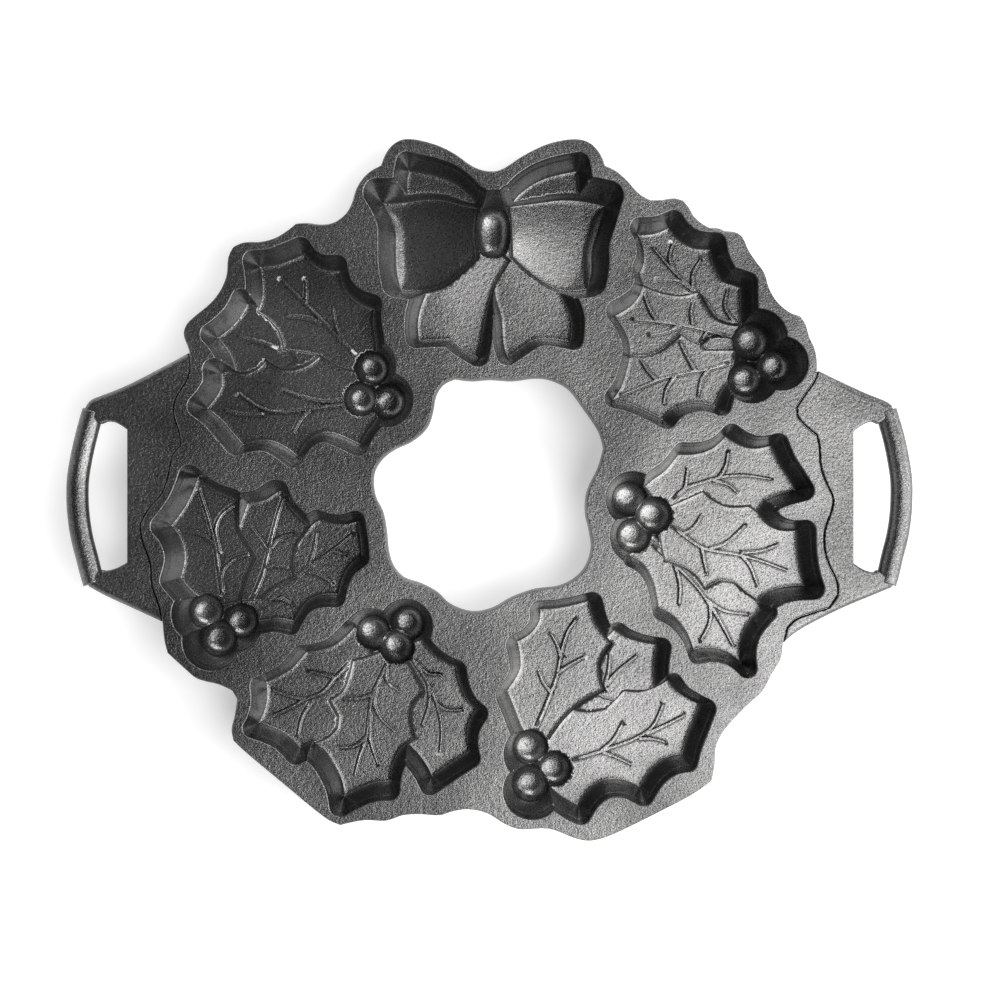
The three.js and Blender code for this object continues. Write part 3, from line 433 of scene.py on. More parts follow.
UPPER_RIGHT_LEAVES = [
    (FRONT, [
        (642.5, 285.4), (638, 297), (629, 307), (613.7, 316), (622, 328), (628, 341), (630, 356.5),
        (649, 356), (665, 348), (681, 334), (691, 341.5), (700, 344.8), (708, 337.5), (720, 336),
        (735, 340), (742, 326), (724, 323.5), (712, 316.5), (698.5, 291.8), (680, 295.8), (660, 292.5),
    ], [
        [(728, 336), (705, 330), (681, 325), (655, 321.5), (634.5, 319.8)],
        [(657, 321), (649.5, 310), (644.5, 297)], [(692.5, 324), (690.5, 313), (692.6, 303)],
        [(680, 325.5), (666, 331.5), (651, 335)], [(699, 343), (706.5, 332)],
    ]),
    (MIDDLE, [
        (636.7, 234.8), (642, 247), (643, 262), (639, 273.5), (642.8, 284), (660, 300), (700, 305),
        (720, 335), (745, 340), (741.5, 318), (741, 303), (740.8, 287.7), (722, 281.5), (714, 266),
        (710.2, 249.4), (690, 247), (677, 238.5), (668.8, 227.5), (654, 233.5),
    ], [
        [(737, 324), (716, 317), (706, 302), (690, 287), (671, 269), (653.5, 248.5)],
        [(673, 270), (669, 257), (672, 245)], [(693, 289), (692.5, 274), (700, 260)],
        [(692, 290), (677, 280.5), (658.7, 279.8)], [(734, 322), (724.5, 307), (727, 290.5)],
    ]),
    (BACK, [
        (630, 352), (627, 367), (620.5, 387), (611.4, 400.2), (630, 405), (647, 412.5), (662.7, 421),
        (672, 410.5), (689, 404), (704, 404.2), (716, 408), (721, 393), (732, 378), (735, 350), (705, 350),
        (690, 336), (670, 336), (650, 348),
    ], [
        [(731, 362), (708, 369), (688, 372), (662, 378.5), (642, 386.3), (621.5, 394.8)],
        [(656, 379.5), (648, 371.5), (642, 362.5)], [(675, 376), (666.5, 388), (663.5, 402.5)],
        [(708, 369.5), (701, 380), (698, 395.5)], [(694, 369), (686.5, 356.5), (680.5, 344)],
    ]),
    (LENS, [
        (696, 349), (706, 333), (722, 331), (734, 338), (734, 348), (718, 352),
    ], []),
]
BOW_LEAVES = [
    (DEEP, [
        (382, 203.5), (391, 219), (396, 234), (396.5, 252), (397, 272), (400, 290.5), (416, 292),
        (432, 290), (447, 284), (461, 273.5), (477, 260), (475, 235), (478, 209.7), (461, 206), (444, 201),
        (424, 200.3), (402, 203),
    ], []),
    (DEEP, [
        (509, 208.4), (511.5, 235), (512, 258.5), (524, 269.5), (540, 281.5), (556, 290), (572, 292),
        (588, 290), (591, 272), (591, 253), (596, 236), (605, 206), (580, 201), (560, 200.5), (540, 203.5),
    ], []),
    (FRONT, [
        (428, 291), (421, 307), (417.5, 323), (418.5, 341.5), (436, 340.5), (450, 340), (462, 349.5),
        (478.5, 359.5), (482, 341), (486, 317), (495, 286), (509, 262), (494, 250), (468, 255), (440, 272),
    ], []),
    (MIDDLE, [
        (495, 297), (500.5, 316), (503, 345), (507, 358.5), (521, 349), (535, 340.5), (550, 339.5),
        (571, 343.5), (572, 322), (566, 305), (556, 288), (530, 262), (506, 250), (494, 270),
    ], []),
    (MIDDLE, [
        (409, 170.5), (420, 173), (437, 177), (453, 183), (465, 192), (477, 206), (480, 222), (455, 224),
        (425, 216), (408, 200), (406.5, 184),
    ], []),
    (MIDDLE, [
        (509, 207), (519, 194.5), (534, 183.5), (551, 176.5), (577, 171), (579.5, 186), (578, 204),
        (558, 216), (530, 222), (508, 222),
    ], []),
]

# Each cup's name, leaves, berries with their radius, and the berry whose circle is whole. The bow's
# knot takes the berry's place there and has its half length too.
BOW_KNOT = (493.3, 235.5, 17.5, 26)
CUPS = [
    ("holly_cup_upper_left", UPPER_LEFT_LEAVES,
     [(373.5, 370, 17.5), (362.3, 399.6, 17.5), (389.4, 402.8, 18)], 1),
    ("holly_cup_left", LEFT_LEAVES, [(209.6, 610, 17.6), (243.6, 619.5, 17.8), (221.5, 636.3, 19)], 2),
    ("holly_cup_lower_left", LOWER_LEFT_LEAVES,
     [(374.9, 630.5, 17.5), (408.7, 621.5, 17.5), (397.9, 644.9, 17.8)], 2),
    ("holly_cup_lower_right", LOWER_RIGHT_LEAVES,
     [(530, 744.6, 18), (553.2, 766, 17.6), (530.5, 780, 19)], 2),
    ("holly_cup_right", RIGHT_LEAVES, [(627.8, 498.5, 17.5), (632, 535, 17.5), (652, 514.9, 18.8)], 2),
    ("holly_cup_upper_right", UPPER_RIGHT_LEAVES,
     [(748.4, 343.5, 19.5), (770.6, 368, 17.5), (742.3, 380.3, 17.5)], 0),
    ("ribbon_bow_cup", BOW_LEAVES, [BOW_KNOT], 0),
]


def plan(pixels, depth=0.0):
    """The pan's x and y for points photographed at that depth under the plate's top."""
    centre = np.array(VIEW_CENTRE)
    spread = 1 + depth / CAMERA_HEIGHT
    moved = (np.asarray(pixels, dtype=float) - centre) * spread + centre - np.array(PAN_CENTRE)
    return moved * MM_PER_PIXEL * np.array([1.0, -1.0])


KNOT = plan(BOW_KNOT[:2], DEEP)


def pixel_length(pixels, depth):
    """The real length of a photographed one at that depth."""
    return pixels * (1 + depth / CAMERA_HEIGHT) * MM_PER_PIXEL


def hermite(start, end, start_way, end_way, length, steps):
    """Points from start, up to but not at end, on a curve with these directions at its ends."""
    t = (np.arange(steps) / steps)[:, None]
    return (
        (2 * t ** 3 - 3 * t ** 2 + 1) * start + (t ** 3 - 2 * t ** 2 + t) * length * start_way
        + (3 * t ** 2 - 2 * t ** 3) * end + (t ** 3 - t ** 2) * length * end_way
    )


def smooth_outline(points, steps=4, corner=32.0):
    """A closed outline bent through its points, but sharp where it turns by more than corner degrees."""
    chord = np.roll(points, -1, axis=0) - points
    length = np.linalg.norm(chord, axis=1)
    into = np.roll(chord, 1, axis=0)
    cross = into[:, 0] * chord[:, 1] - into[:, 1] * chord[:, 0]
    sharp = np.abs(np.degrees(np.arctan2(cross, (into * chord).sum(axis=1)))) > corner
    way = (into + chord) / (np.roll(length, 1) + length)[:, None]
    pieces = []
    for i in range(len(points)):
        j = (i + 1) % len(points)
        straight = chord[i] / length[i]
        start_way = 1.5 * straight - 0.5 * way[j] if sharp[i] else way[i]
        end_way = 1.5 * straight - 0.5 * way[i] if sharp[j] else way[j]
        if sharp[i] and sharp[j]:
            start_way = end_way = straight
        pieces.append(hermite(points[i], points[j], start_way, end_way, length[i], steps))
    return np.concatenate(pieces)


def smooth_line(points, steps=5):
    """An open line bent through its points."""
    chord = np.diff(points, axis=0)
    length = np.linalg.norm(chord, axis=1)
    way = np.empty_like(points)
    way[1:-1] = (chord[:-1] + chord[1:]) / (length[:-1] + length[1:])[:, None]
    way[0] = chord[0] / length[0]
    way[-1] = chord[-1] / length[-1]
    pieces = [
        hermite(points[i], points[i + 1], way[i], way[i + 1], length[i], steps)
        for i in range(len(chord))
    ]
    return np.concatenate(pieces + [points[-1:]])


def directions(line):
    """The unit directions of a line at its points."""
    way = np.gradient(line, axis=0)
    return way / np.linalg.norm(way, axis=1)[:, None]


def signed_distance(points, outline):
    """Distances of points from a closed outline, less than zero inside it."""
    x, y = points[:, 0], points[:, 1]
    nearest = np.full(len(points), np.inf)
    inside = np.zeros(len(points), dtype=bool)
    for (ax, ay), (bx, by) in zip(outline, np.roll(outline, -1, axis=0)):
        dx, dy = bx - ax, by - ay
        share = np.clip(((x - ax) * dx + (y - ay) * dy) / (dx * dx + dy * dy), 0, 1)
        nearest = np.minimum(nearest, (x - ax - share * dx) ** 2 + (y - ay - share * dy) ** 2)
        if ay != by:
            inside ^= ((ay > y) != (by > y)) & (x < ax + (y - ay) * dx / dy)
    return np.where(inside, -1.0, 1.0) * np.sqrt(nearest)


def line_distance(points, line):
    """Distances of points from an open line, and how far along it the nearest place is."""
    x, y = points[:, 0], points[:, 1]
    nearest = np.full(len(points), np.inf)
    along = np.zeros(len(points))
    passed = 0.0
    for (ax, ay), (bx, by) in zip(line[:-1], line[1:]):
        dx, dy = bx - ax, by - ay
        length = math.hypot(dx, dy)
        share = np.clip(((x - ax) * dx + (y - ay) * dy) / (length * length), 0, 1)
        square = (x - ax - share * dx) ** 2 + (y - ay - share * dy) ** 2
        along = np.where(square < nearest, passed + share * length, along)
        nearest = np.minimum(nearest, square)
        passed += length
    return np.sqrt(nearest), along


def smooth_max(a, b, width):
    """The larger of two heights, rounded where they are within width of each other."""
    near = np.maximum(width - np.abs(a - b), 0) / width
    return np.maximum(a, b) + near * near * width / 4


def smooth_min(a, b, width):
    """The smaller of two heights, rounded where they are within width of each other."""
    return -smooth_max(-a, -b, width)


def ease(share):
    """A smooth rise from 0 to 1."""
    share = np.clip(share, 0, 1)
    return share * share * (3 - 2 * share)


def near_box(points, low, high, reach):
    """Which points are within reach of a box."""
    return np.all((points > low - reach) & (points < high + reach), axis=1)


class Leaf:
    """One leaf, loop or tail of a cup: a floor with steep drafted walls, and veins raised on it."""

    line_step = 0.6 * LINE_STEP

    def __init__(self, depth, outline, veins, slope):
        self.floor = PLATE_TOP - depth
        self.slope = slope
        self.outline = smooth_outline(plan(outline, depth))
        self.low, self.high = self.outline.min(axis=0), self.outline.max(axis=0)
        self.veins = [smooth_line(plan(vein, depth)) for vein in veins]
        self.run_in = []
        for vein in self.veins:
            gaps = [line_distance(vein[:1], other)[0][0] for other in self.veins if other is not vein]
            self.run_in.append(VEIN_RUN_IN if not gaps or min(gaps) > VEIN_WIDTH else 0.0)

    def level(self, points):
        """The floor without its veins. A bow's floors rise from their outer ends."""
        if self.slope is None:
            return np.full(len(points), self.floor)
        height, middle, start, length = self.slope
        out = np.linalg.norm(points - plan(middle, DEEP), axis=1)
        return self.floor + height * np.clip(1 - (out - start) / length, 0, 1) ** BOW_SLOPE_POWER

    def curl(self, points, gap):
        """How much the floor turns up beside its walls, most at the outer ends of a bow's loops."""
        height, width = CURL_HEIGHT, CURL_WIDTH
        if self.slope:
            x, y = np.abs(points - KNOT - [0, LOOP_MIDDLE]).T
            share = ease((x - LOOP_END_START) / LOOP_END_RUN) * ease((LOOP_END_HALF - y) / LOOP_END_FADE)
            height = CURL_HEIGHT + (LOOP_CURL_HEIGHT - CURL_HEIGHT) * share
            width = CURL_WIDTH + (LOOP_CURL_WIDTH - CURL_WIDTH) * share
        return height * np.clip(1 + gap / width, 0, 1) ** 2

    def rise(self, points):
        """How high the veins stand above the floor, or how low the fine grooves beside them lie."""
        rise = np.zeros(len(points))
        groove = np.zeros(len(points))
        for vein, run_in in zip(self.veins, self.run_in):
            near = near_box(points, vein.min(axis=0), vein.max(axis=0), VEIN_WIDTH)
            if not near.any():
                continue
            gap, along = line_distance(points[near], vein)
            length = np.linalg.norm(np.diff(vein, axis=0), axis=1).sum()
            half = VEIN_WIDTH / 2 * (1 - (1 - VEIN_TIP_SHARE) * along / length)
            height = VEIN_HEIGHT * ease((half - gap) / VEIN_SIDE)
            if run_in:
                height *= ease(along / run_in)
            rise[near] = np.maximum(rise[near], height)
            beside = np.clip((gap - half) / GROOVE_WIDTH, 0, 1)
            groove[near] = np.maximum(groove[near], GROOVE_DEPTH * np.sin(math.pi * beside) ** 2)
        return rise - groove * np.clip(1 - rise / GROOVE_DEPTH, 0, 1)

    def height(self, points):
        """The hollow's surface: the floor, its veins and the walls round it."""
        height = np.full(len(points), FAR)
        near = near_box(points, self.low, self.high, LEAF_REACH)
        if near.any():
            inner = points[near]
            gap = signed_distance(inner, self.outline)
            floor = self.level(inner) + self.rise(inner) + self.curl(inner, gap)
            height[near] = smooth_max(floor, self.level(inner) + gap / DRAFT, FLOOR_ROUND)
        return height

    def under(self, points):
        """The outer surface of the metal round the hollow."""
        height = np.full(len(points), FAR)
        near = near_box(points, self.low, self.high, 2 * LEAF_REACH)
        if near.any():
            gap = signed_distance(points[near], self.outline) - CUP_WALL
            low = self.level(points[near]) - BASE_THICKNESS
            height[near] = smooth_max(low, low + gap / DRAFT, UNDER_ROUND)
        return height

    def lines(self):
        """Lines along both sides of the veins, which the mesh has to follow."""
        return [
            offset_line(vein, side, share)
            for vein in self.veins for side in (-1, 1) for share in VEIN_SHARES
        ]


def offset_line(vein, side, share):
    """A line beside a vein, where share 1 is the foot of its side, less its crest and more its groove."""
    way = directions(vein)
    along = np.linspace(0, 1, len(vein))
    half = VEIN_WIDTH / 2 * (1 - (1 - VEIN_TIP_SHARE) * along) - VEIN_SIDE * (1 - share)
    return vein + side * half[:, None] * np.stack([-way[:, 1], way[:, 0]], axis=1)


class Berry:
    """One berry, or the bow's knot: a bowl with a drafted wall above its rim."""

    line_step = LINE_STEP

    def __init__(self, x, y, radius, length=None, whole=False):
        self.centre = plan((x, y), DEEP)
        self.low, self.high = self.centre - BERRY_REACH, self.centre + BERRY_REACH
        self.radius = pixel_length(radius, PLATE_TOP - BERRY_RIM)
        self.stretch = (length or radius) / radius
        self.power = KNOT_POWER if length else 2
        self.bottom = BERRY_FLOOR if whole else SMALL_BERRY_FLOOR

    def spread(self, points):
        """Distances from the berry's middle, measured as on its short side."""
        x, y = np.abs(points - self.centre).T
        return (x ** self.power + (y / self.stretch) ** self.power) ** (1 / self.power)

    def steepness(self, points, out):
        """How much longer the stretched berry's real distances are than its spread."""
        share = (points[:, 1] - self.centre[1]) / self.stretch / np.maximum(out, 1)
        return 1 + (self.stretch - 1) * share ** 2

    def height(self, points):
        """The hollow's surface."""
        out = self.spread(points)
        share = np.clip(out / self.radius, 0, 1)
        bowl = BERRY_RIM - (BERRY_RIM - self.bottom) * (1 - share ** BERRY_POWER) ** (1 / BERRY_POWER)
        wall = BERRY_RIM + (out - self.radius) * self.steepness(points, out) / DRAFT
        return np.minimum(np.where(out < self.radius, bowl, wall), FAR)

    def under(self, points):
        """The outer surface, with the flat pad that the pan rests on."""
        out = self.spread(points)
        rim = self.radius + CUP_WALL
        share = np.clip((out - BERRY_PAD) / (rim - BERRY_PAD), 0, 1)
        bowl = BERRY_RIM * (1 - np.sqrt(1 - share ** 2))
        return np.minimum(np.where(out < rim, bowl, BERRY_RIM + (out - rim) / DRAFT), FAR)

    def lines(self):
        """Circles on the bowl that the mesh has to follow."""
        turn = np.linspace(0, 2 * math.pi, CIRCLE_POINTS)
        x, y = np.cos(turn), np.sin(turn)
        flat = (np.abs(x) ** self.power + np.abs(y) ** self.power) ** (-1 / self.power)
        circle = flat[:, None] * np.stack([x, y * self.stretch], axis=1)
        return [self.centre + self.radius * share * circle for share in BERRY_SHARES]


class Cup:
    """One cup of the wreath: leaves and berries that run into each other."""

    def __init__(self, name, leaves, berries, whole):
        self.name = name
        slopes_of = BOW_SLOPES if leaves is BOW_LEAVES else [None] * len(leaves)
        self.parts = [Leaf(*leaf, slope) for leaf, slope in zip(leaves, slopes_of)]
        self.parts += [Berry(*berry, whole=(whole == i)) for i, berry in enumerate(berries)]
        self.low = np.min([part.low for part in self.parts], axis=0)
        self.high = np.max([part.high for part in self.parts], axis=0)
        self.xs, self.ys = grid(self.low, self.high, CUP_MARGIN)
        self.fields = [on_grid(part.height, self.xs, self.ys) for part in self.parts]
        self.hollow = on_grid(self.cavity, self.xs, self.ys)
        self.mouths = loops_at(self.hollow, self.xs, self.ys, PLATE_UNDER)

    def cavity(self, points):
        """The surface inside the cup."""
        height = np.full(len(points), FAR)
        for part in self.parts:
            height = smooth_min(height, part.height(points), RIDGE_ROUND)
        return height

    def under(self, points):
        """The cup's outer surface."""
        height = np.full(len(points), FAR)
        for part in self.parts:
            height = smooth_min(height, part.under(points), UNDER_ROUND / 2)
        return np.maximum(height, 0)


def grid(low, high, margin, step=GRID_STEP):
    """The lines of a grid that covers a box and a margin round it."""
    return [np.arange(low[axis] - margin, high[axis] + margin, step) for axis in (0, 1)]


def on_grid(function, xs, ys):
    """A function's values on a grid, a row for each y."""
    x, y = np.meshgrid(xs, ys)
    return function(np.stack([x.ravel(), y.ravel()], axis=1)).reshape(x.shape)


def contours(height, xs, ys, level):
    """The lines where a grid of heights passes a level. A closed line's last point is its first."""
    rows, columns = height.shape
    index = np.arange(rows * columns).reshape(rows, columns)
    a, b, c, d = index[:-1, :-1], index[:-1, 1:], index[1:, 1:], index[1:, :-1]
    triangles = np.concatenate([
        np.stack([a, b, c], axis=-1).reshape(-1, 3),
        np.stack([a, c, d], axis=-1).reshape(-1, 3),
    ])
    flat = height.ravel()
    above = (flat > level)[triangles]
    count = above.sum(axis=1)
    mixed = (count == 1) | (count == 2)
    triangles, above, count = triangles[mixed], above[mixed], count[mixed]
    odd = np.where(count == 1, above.argmax(axis=1), (~above).argmax(axis=1))
    row = np.arange(len(triangles))
    lone = triangles[row, odd]
    ends = []
    for other in (triangles[row, (odd + 1) % 3], triangles[row, (odd + 2) % 3]):
        first, second = np.minimum(lone, other), np.maximum(lone, other)
        share = (level - flat[first]) / (flat[second] - flat[first])
        x = xs[first % columns] + share * (xs[second % columns] - xs[first % columns])
        y = ys[first // columns] + share * (ys[second // columns] - ys[first // columns])
        ends.append((first * rows * columns + second, x, y))
    place = {}
    links = {}
    for i in row:
        for key, x, y in ends:
            place[key[i]] = (x[i], y[i])
        first, second = (end[0][i] for end in ends)
        links.setdefault(first, []).append(second)
        links.setdefault(second, []).append(first)
    lines = []
    used = set()
    for start in [key for key in links if len(links[key]) == 1] + list(links):
        if start in used:
            continue
        chain = []
        step = [start]
        while step:
            chain.append(step[0])
            used.add(step[0])
            step = [key for key in links[chain[-1]] if key not in used]
        if len(chain) > 2:
            chain += [start] if start in links[chain[-1]] else []
            lines.append(np.array([place[key] for key in chain]))
    return lines


def resample(line, step):
    """The same line with evenly spaced points."""
    length = np.concatenate([[0], np.cumsum(np.linalg.norm(np.diff(line, axis=0), axis=1))])
    count = max(int(round(length[-1] / step)), 2)
    at = np.linspace(0, length[-1], count + 1)
    return np.stack([np.interp(at, length, line[:, 0]), np.interp(at, length, line[:, 1])], axis=1)


def level_lines(height, xs, ys, levels, step=LINE_STEP):
    """The lines where a grid of heights passes these levels, with evenly spaced points."""
    return [resample(line, step) for level in levels for line in contours(height, xs, ys, level)]


def close(loop):
    """A loop as a line whose last point is its first."""
    return np.vstack([loop, loop[:1]])


def kept_parts(line, keep):
    """The stretches of a line that are kept, where they are longer than two points."""
    parts = []
    start = None
    for i, good in enumerate(list(keep) + [False]):
        if good and start is None:
            start = i
        if not good and start is not None:
            if i - start > 2:
                parts.append(line[start:i])
            start = None
    return parts


def settle(line, function, furthest=0.3, reach=0.01, longest=0.15, close_enough=0.03):
    """A line's points moved to where a function is zero, without the points that don't get there."""
    moved = line.copy()
    for attempt in range(5):
        value = function(moved)
        right, up = gradient(function, moved, reach) / (2 * reach)
        square = np.maximum(right * right + up * up, 0.01)
        step = -np.stack([value * right / square, value * up / square], axis=1)
        size = np.linalg.norm(step, axis=1)[:, None]
        moved += step * np.minimum(1, longest / np.maximum(size, 1e-9))
    good = (np.abs(function(moved)) < close_enough) & (np.linalg.norm(moved - line, axis=1) < furthest)
    return kept_parts(moved, good)


def gradient(function, points, reach):
    """How much a function of points grows to the right and upwards over twice that reach."""
    return np.array([
        function(points + step) - function(points - step) for step in np.array([[reach, 0], [0, reach]])
    ])


def slopes(function, points, reach=0.04):
    """The unit normals of a height over these points."""
    right, up = gradient(function, points, reach)
    normal = np.stack([-right, -up, np.full(len(points), 2 * reach)], axis=1)
    return normal / np.linalg.norm(normal, axis=1)[:, None]


def area(loop):
    """The area inside a closed line, less than zero where it runs clockwise."""
    x, y = loop[:, 0], loop[:, 1]
    return (np.dot(x, np.roll(y, -1)) - np.dot(y, np.roll(x, -1))) / 2


def loops_at(height, xs, ys, level, smallest=20.0):
    """The closed lines of a contour, evenly spaced and without their repeated last point."""
    lines = [line for line in contours(height, xs, ys, level) if np.allclose(line[0], line[-1])]
    found = [resample(line, LINE_STEP)[:-1] for line in lines]
    return [loop for loop in found if abs(area(loop)) > smallest]


def loose_points(low, high, step):
    """Points in staggered rows over a box."""
    rows = []
    for i, y in enumerate(np.arange(low[1], high[1], step * math.sqrt(3) / 2)):
        x = np.arange(low[0] + (i % 2) * step / 2, high[0], step)
        rows.append(np.stack([x, np.full_like(x, y)], axis=1))
    return np.concatenate(rows)


def far_from(points, loops, gap):
    """Which points are further than gap from all the loops, found with a coarse hash of places."""
    dense = np.concatenate([resample(close(loop), gap / 2) for loop in loops])
    cells = set(map(tuple, np.floor(dense / gap).astype(int)))
    near = {(x + i, y + j) for x, y in cells for i in (-1, 0, 1) for j in (-1, 0, 1)}
    return np.array([tuple(cell) not in near for cell in np.floor(points / gap).astype(int)])


def count_sides(triangles):
    """The sides of these triangles, each with how many triangles it belongs to."""
    sides = {}
    for triangle in triangles:
        for i in range(3):
            side = (triangle[i], triangle[(i + 1) % 3])
            key = (min(side), max(side))
            sides[key] = sides.get(key, 0) + 1
    return sides


def sheet(loops, holes, lines, loose, attempts=4, clear=2.0, tolerance=1e-4):
    """Triangles over the inside of the loops, less the holes. The rims' points come first and in order.

    It is made again without the edges that lie where it tore open, and with a new point on each chord
    between two points of the rims.
    """
    rims = loops + holes
    points = list(rims)
    count = sum(len(loop) for loop in rims)
    faces = []
    start = 0
    for loop in rims:
        faces.append(list(range(start, start + len(loop))))
        start += len(loop)
    edges = []
    for line in lines:
        keep = far_from(line, rims, CLEARANCE)
        index = np.cumsum(keep) - 1 + start
        edges += [
            (int(index[i]), int(index[i + 1])) for i in range(len(line) - 1) if keep[i] and keep[i + 1]
        ]
        points.append(line[keep])
        start += int(keep.sum())
    points = np.concatenate(points + [loose[far_from(loose, rims, LOOSE_STEP / 3)]])
    for attempt in range(attempts):
        result = delaunay_2d_cdt([Vector(point) for point in points], edges, faces, 0, tolerance)
        places, _, triangles, origins, _, owners = result
        places = np.array([tuple(place) for place in places])
        inside = np.array([len(owner) > 0 and max(owner) < len(loops) for owner in owners])
        triangles = np.array(triangles)[inside]
        rim_of = {new: old for new, origin in enumerate(origins) for old in origin if old < count}
        sides = count_sides(triangles)
        open_points = {int(point) for side, times in sides.items() if times == 1 for point in side}
        stray = [point for point in open_points if point not in rim_of]
        chords = [(a, b) for (a, b), times in sides.items() if times == 2 and a in rim_of and b in rim_of]
        if not stray and not chords:
            break
        if stray:
            spots = places[stray]
            edges = [
                (a, b) for a, b in edges
                if np.min(np.linalg.norm(spots - (points[a] + points[b]) / 2, axis=1)) > clear
            ]
        if chords:
            points = np.concatenate([points, [(places[a] + places[b]) / 2 for a, b in chords]])
    order = np.full(len(places), -1)
    for new, old in rim_of.items():
        order[new] = old
    used = np.zeros(len(places), dtype=bool)
    used[triangles.ravel()] = True
    others = np.flatnonzero(used & (order < 0))
    order[others] = count + np.arange(len(others))
    placed = np.concatenate(rims + [places[others]])
    triangles = order[triangles]
    corner = placed[triangles]
    turn = np.cross(corner[:, 1] - corner[:, 0], corner[:, 2] - corner[:, 0])
    return placed, np.where((turn > 0)[:, None], triangles, triangles[:, ::-1]), count


def shell(name, rims, rim_heights, top, under, top_lines, under_lines, top_loose, under_loose):
    """A closed mesh out of an upper and a lower sheet that share their rims.

    rims is (loops, holes), and top and under are each a function of points that gives heights.
    """
    loops, holes = ([loop if area(loop) > 0 else loop[::-1] for loop in group] for group in rims)
    upper, upper_faces, count = sheet(loops, holes, top_lines, top_loose)
    lower, lower_faces, _ = sheet(loops, holes, under_lines, under_loose)
    heights = top(upper)
    heights[:count] = rim_heights
    places = np.concatenate([
        np.column_stack([upper, heights]),
        np.column_stack([lower, under(lower)])[count:],
    ])
    lower_faces = lower_faces[:, ::-1]
    normals = np.concatenate([
        slopes(top, upper)[upper_faces.ravel()],
        -slopes(under, lower)[lower_faces.ravel()],
    ])
    lower_faces = np.where(lower_faces >= count, lower_faces + len(upper) - count, lower_faces)
    return make_mesh(name, places, np.concatenate([upper_faces, lower_faces]), normals)


def make_mesh(name, places, faces, normals=None):
    """An object at the origin whose mesh has these places in millimetres."""
    mesh = bpy.data.meshes.new(name)
    mesh.from_pydata((places * MM).tolist(), [], faces.tolist())
    mesh.shade_smooth()
    mesh.update()
    if normals is not None:
        mesh.normals_split_custom_set(normals.tolist())
    made = bpy.data.objects.new(name, mesh)
    bpy.context.scene.collection.objects.link(made)
    return made


cups = [Cup(*cup) for cup in CUPS]
wreath_edge = smooth_outline(plan(WREATH_EDGE))
middle_opening = smooth_outline(plan(MIDDLE_OPENING))


def inside_plate(points):
    """How far points lie inside the plate's edges, less than zero where they lie outside."""
    return np.minimum(-signed_distance(points, wreath_edge), signed_distance(points, middle_opening))


def plate_height(points):
    """The plate's upper surface, with its rounded edges and the upper part of the cups' walls."""
    side = PLATE_WAIST + inside_plate(points) * EDGE_SLOPE
    height = smooth_min(np.full(len(points), PLATE_TOP), side, EDGE_ROUND)
    for cup in cups:
        near = near_box(points, cup.low, cup.high, CUP_REACH)
        if near.any():
            height[near] = smooth_min(height[near], cup.cavity(points[near]), MOUTH_ROUND)
    return height


def under_side(inside, slope):
    """The height of an underside, which curls up a little at its edges."""
    return smooth_max(np.full(len(inside), PLATE_UNDER), PLATE_WAIST - inside * slope, UNDER_EDGE_ROUND)


def plate_under(points):
    """The plate's underside."""
    return under_side(inside_plate(points), UNDER_EDGE_SLOPE)


def cup_lines(cup):
    """The lines that the mesh inside a cup follows: floors' edges, ridges, veins and the walls' levels."""
    lines = level_lines(cup.hollow, cup.xs, cup.ys, WALL_LEVELS, 1.2 * LINE_STEP)
    for part, field in zip(cup.parts, cup.fields):
        others = np.min([other for other in cup.fields if other is not field], axis=0)
        rest = [other for other in cup.parts if other is not part]

        def ahead(points, part=part, rest=rest):
            return part.height(points) - np.min([other.height(points) for other in rest], axis=0)

        ridge_field = np.where(np.minimum(field, others) < PLATE_UNDER - 1, field - others, FAR)
        for ridge in level_lines(ridge_field, cup.xs, cup.ys, [0.0]):
            lines += settle(ridge, ahead)
        own = []
        if isinstance(part, Leaf):
            gap = on_grid(lambda points: signed_distance(points, part.outline), cup.xs, cup.ys)
            own += level_lines(gap, cup.xs, cup.ys, LOOP_LEVELS if part.slope else LEAF_LEVELS)
        own += [resample(line, part.line_step) for line in part.lines()]
        for line in own:
            lines += kept_parts(line, part.height(line) < cup.cavity(line) + LINE_STRAY)
    return lines


def make_cup(cup):
    """A cup's mesh, from its mouth on the plate's underside down to its pads."""
    xs, ys = grid(cup.low, cup.high, SKIN_MARGIN)
    under = on_grid(cup.under, xs, ys)
    low, high = cup.low - SKIN_MARGIN, cup.high + SKIN_MARGIN
    return shell(
        cup.name + "_iron", (loops_at(under, xs, ys, PLATE_UNDER), []), PLATE_UNDER,
        lambda points: np.minimum(cup.cavity(points), PLATE_UNDER),
        lambda points: np.minimum(cup.under(points), PLATE_UNDER),
        cup_lines(cup) + [close(mouth) for mouth in cup.mouths],
        level_lines(under, xs, ys, SKIN_LEVELS, 2 * LINE_STEP),
        loose_points(low, high, LOOSE_STEP), loose_points(low, high, 1.5 * LOOSE_STEP),
    )


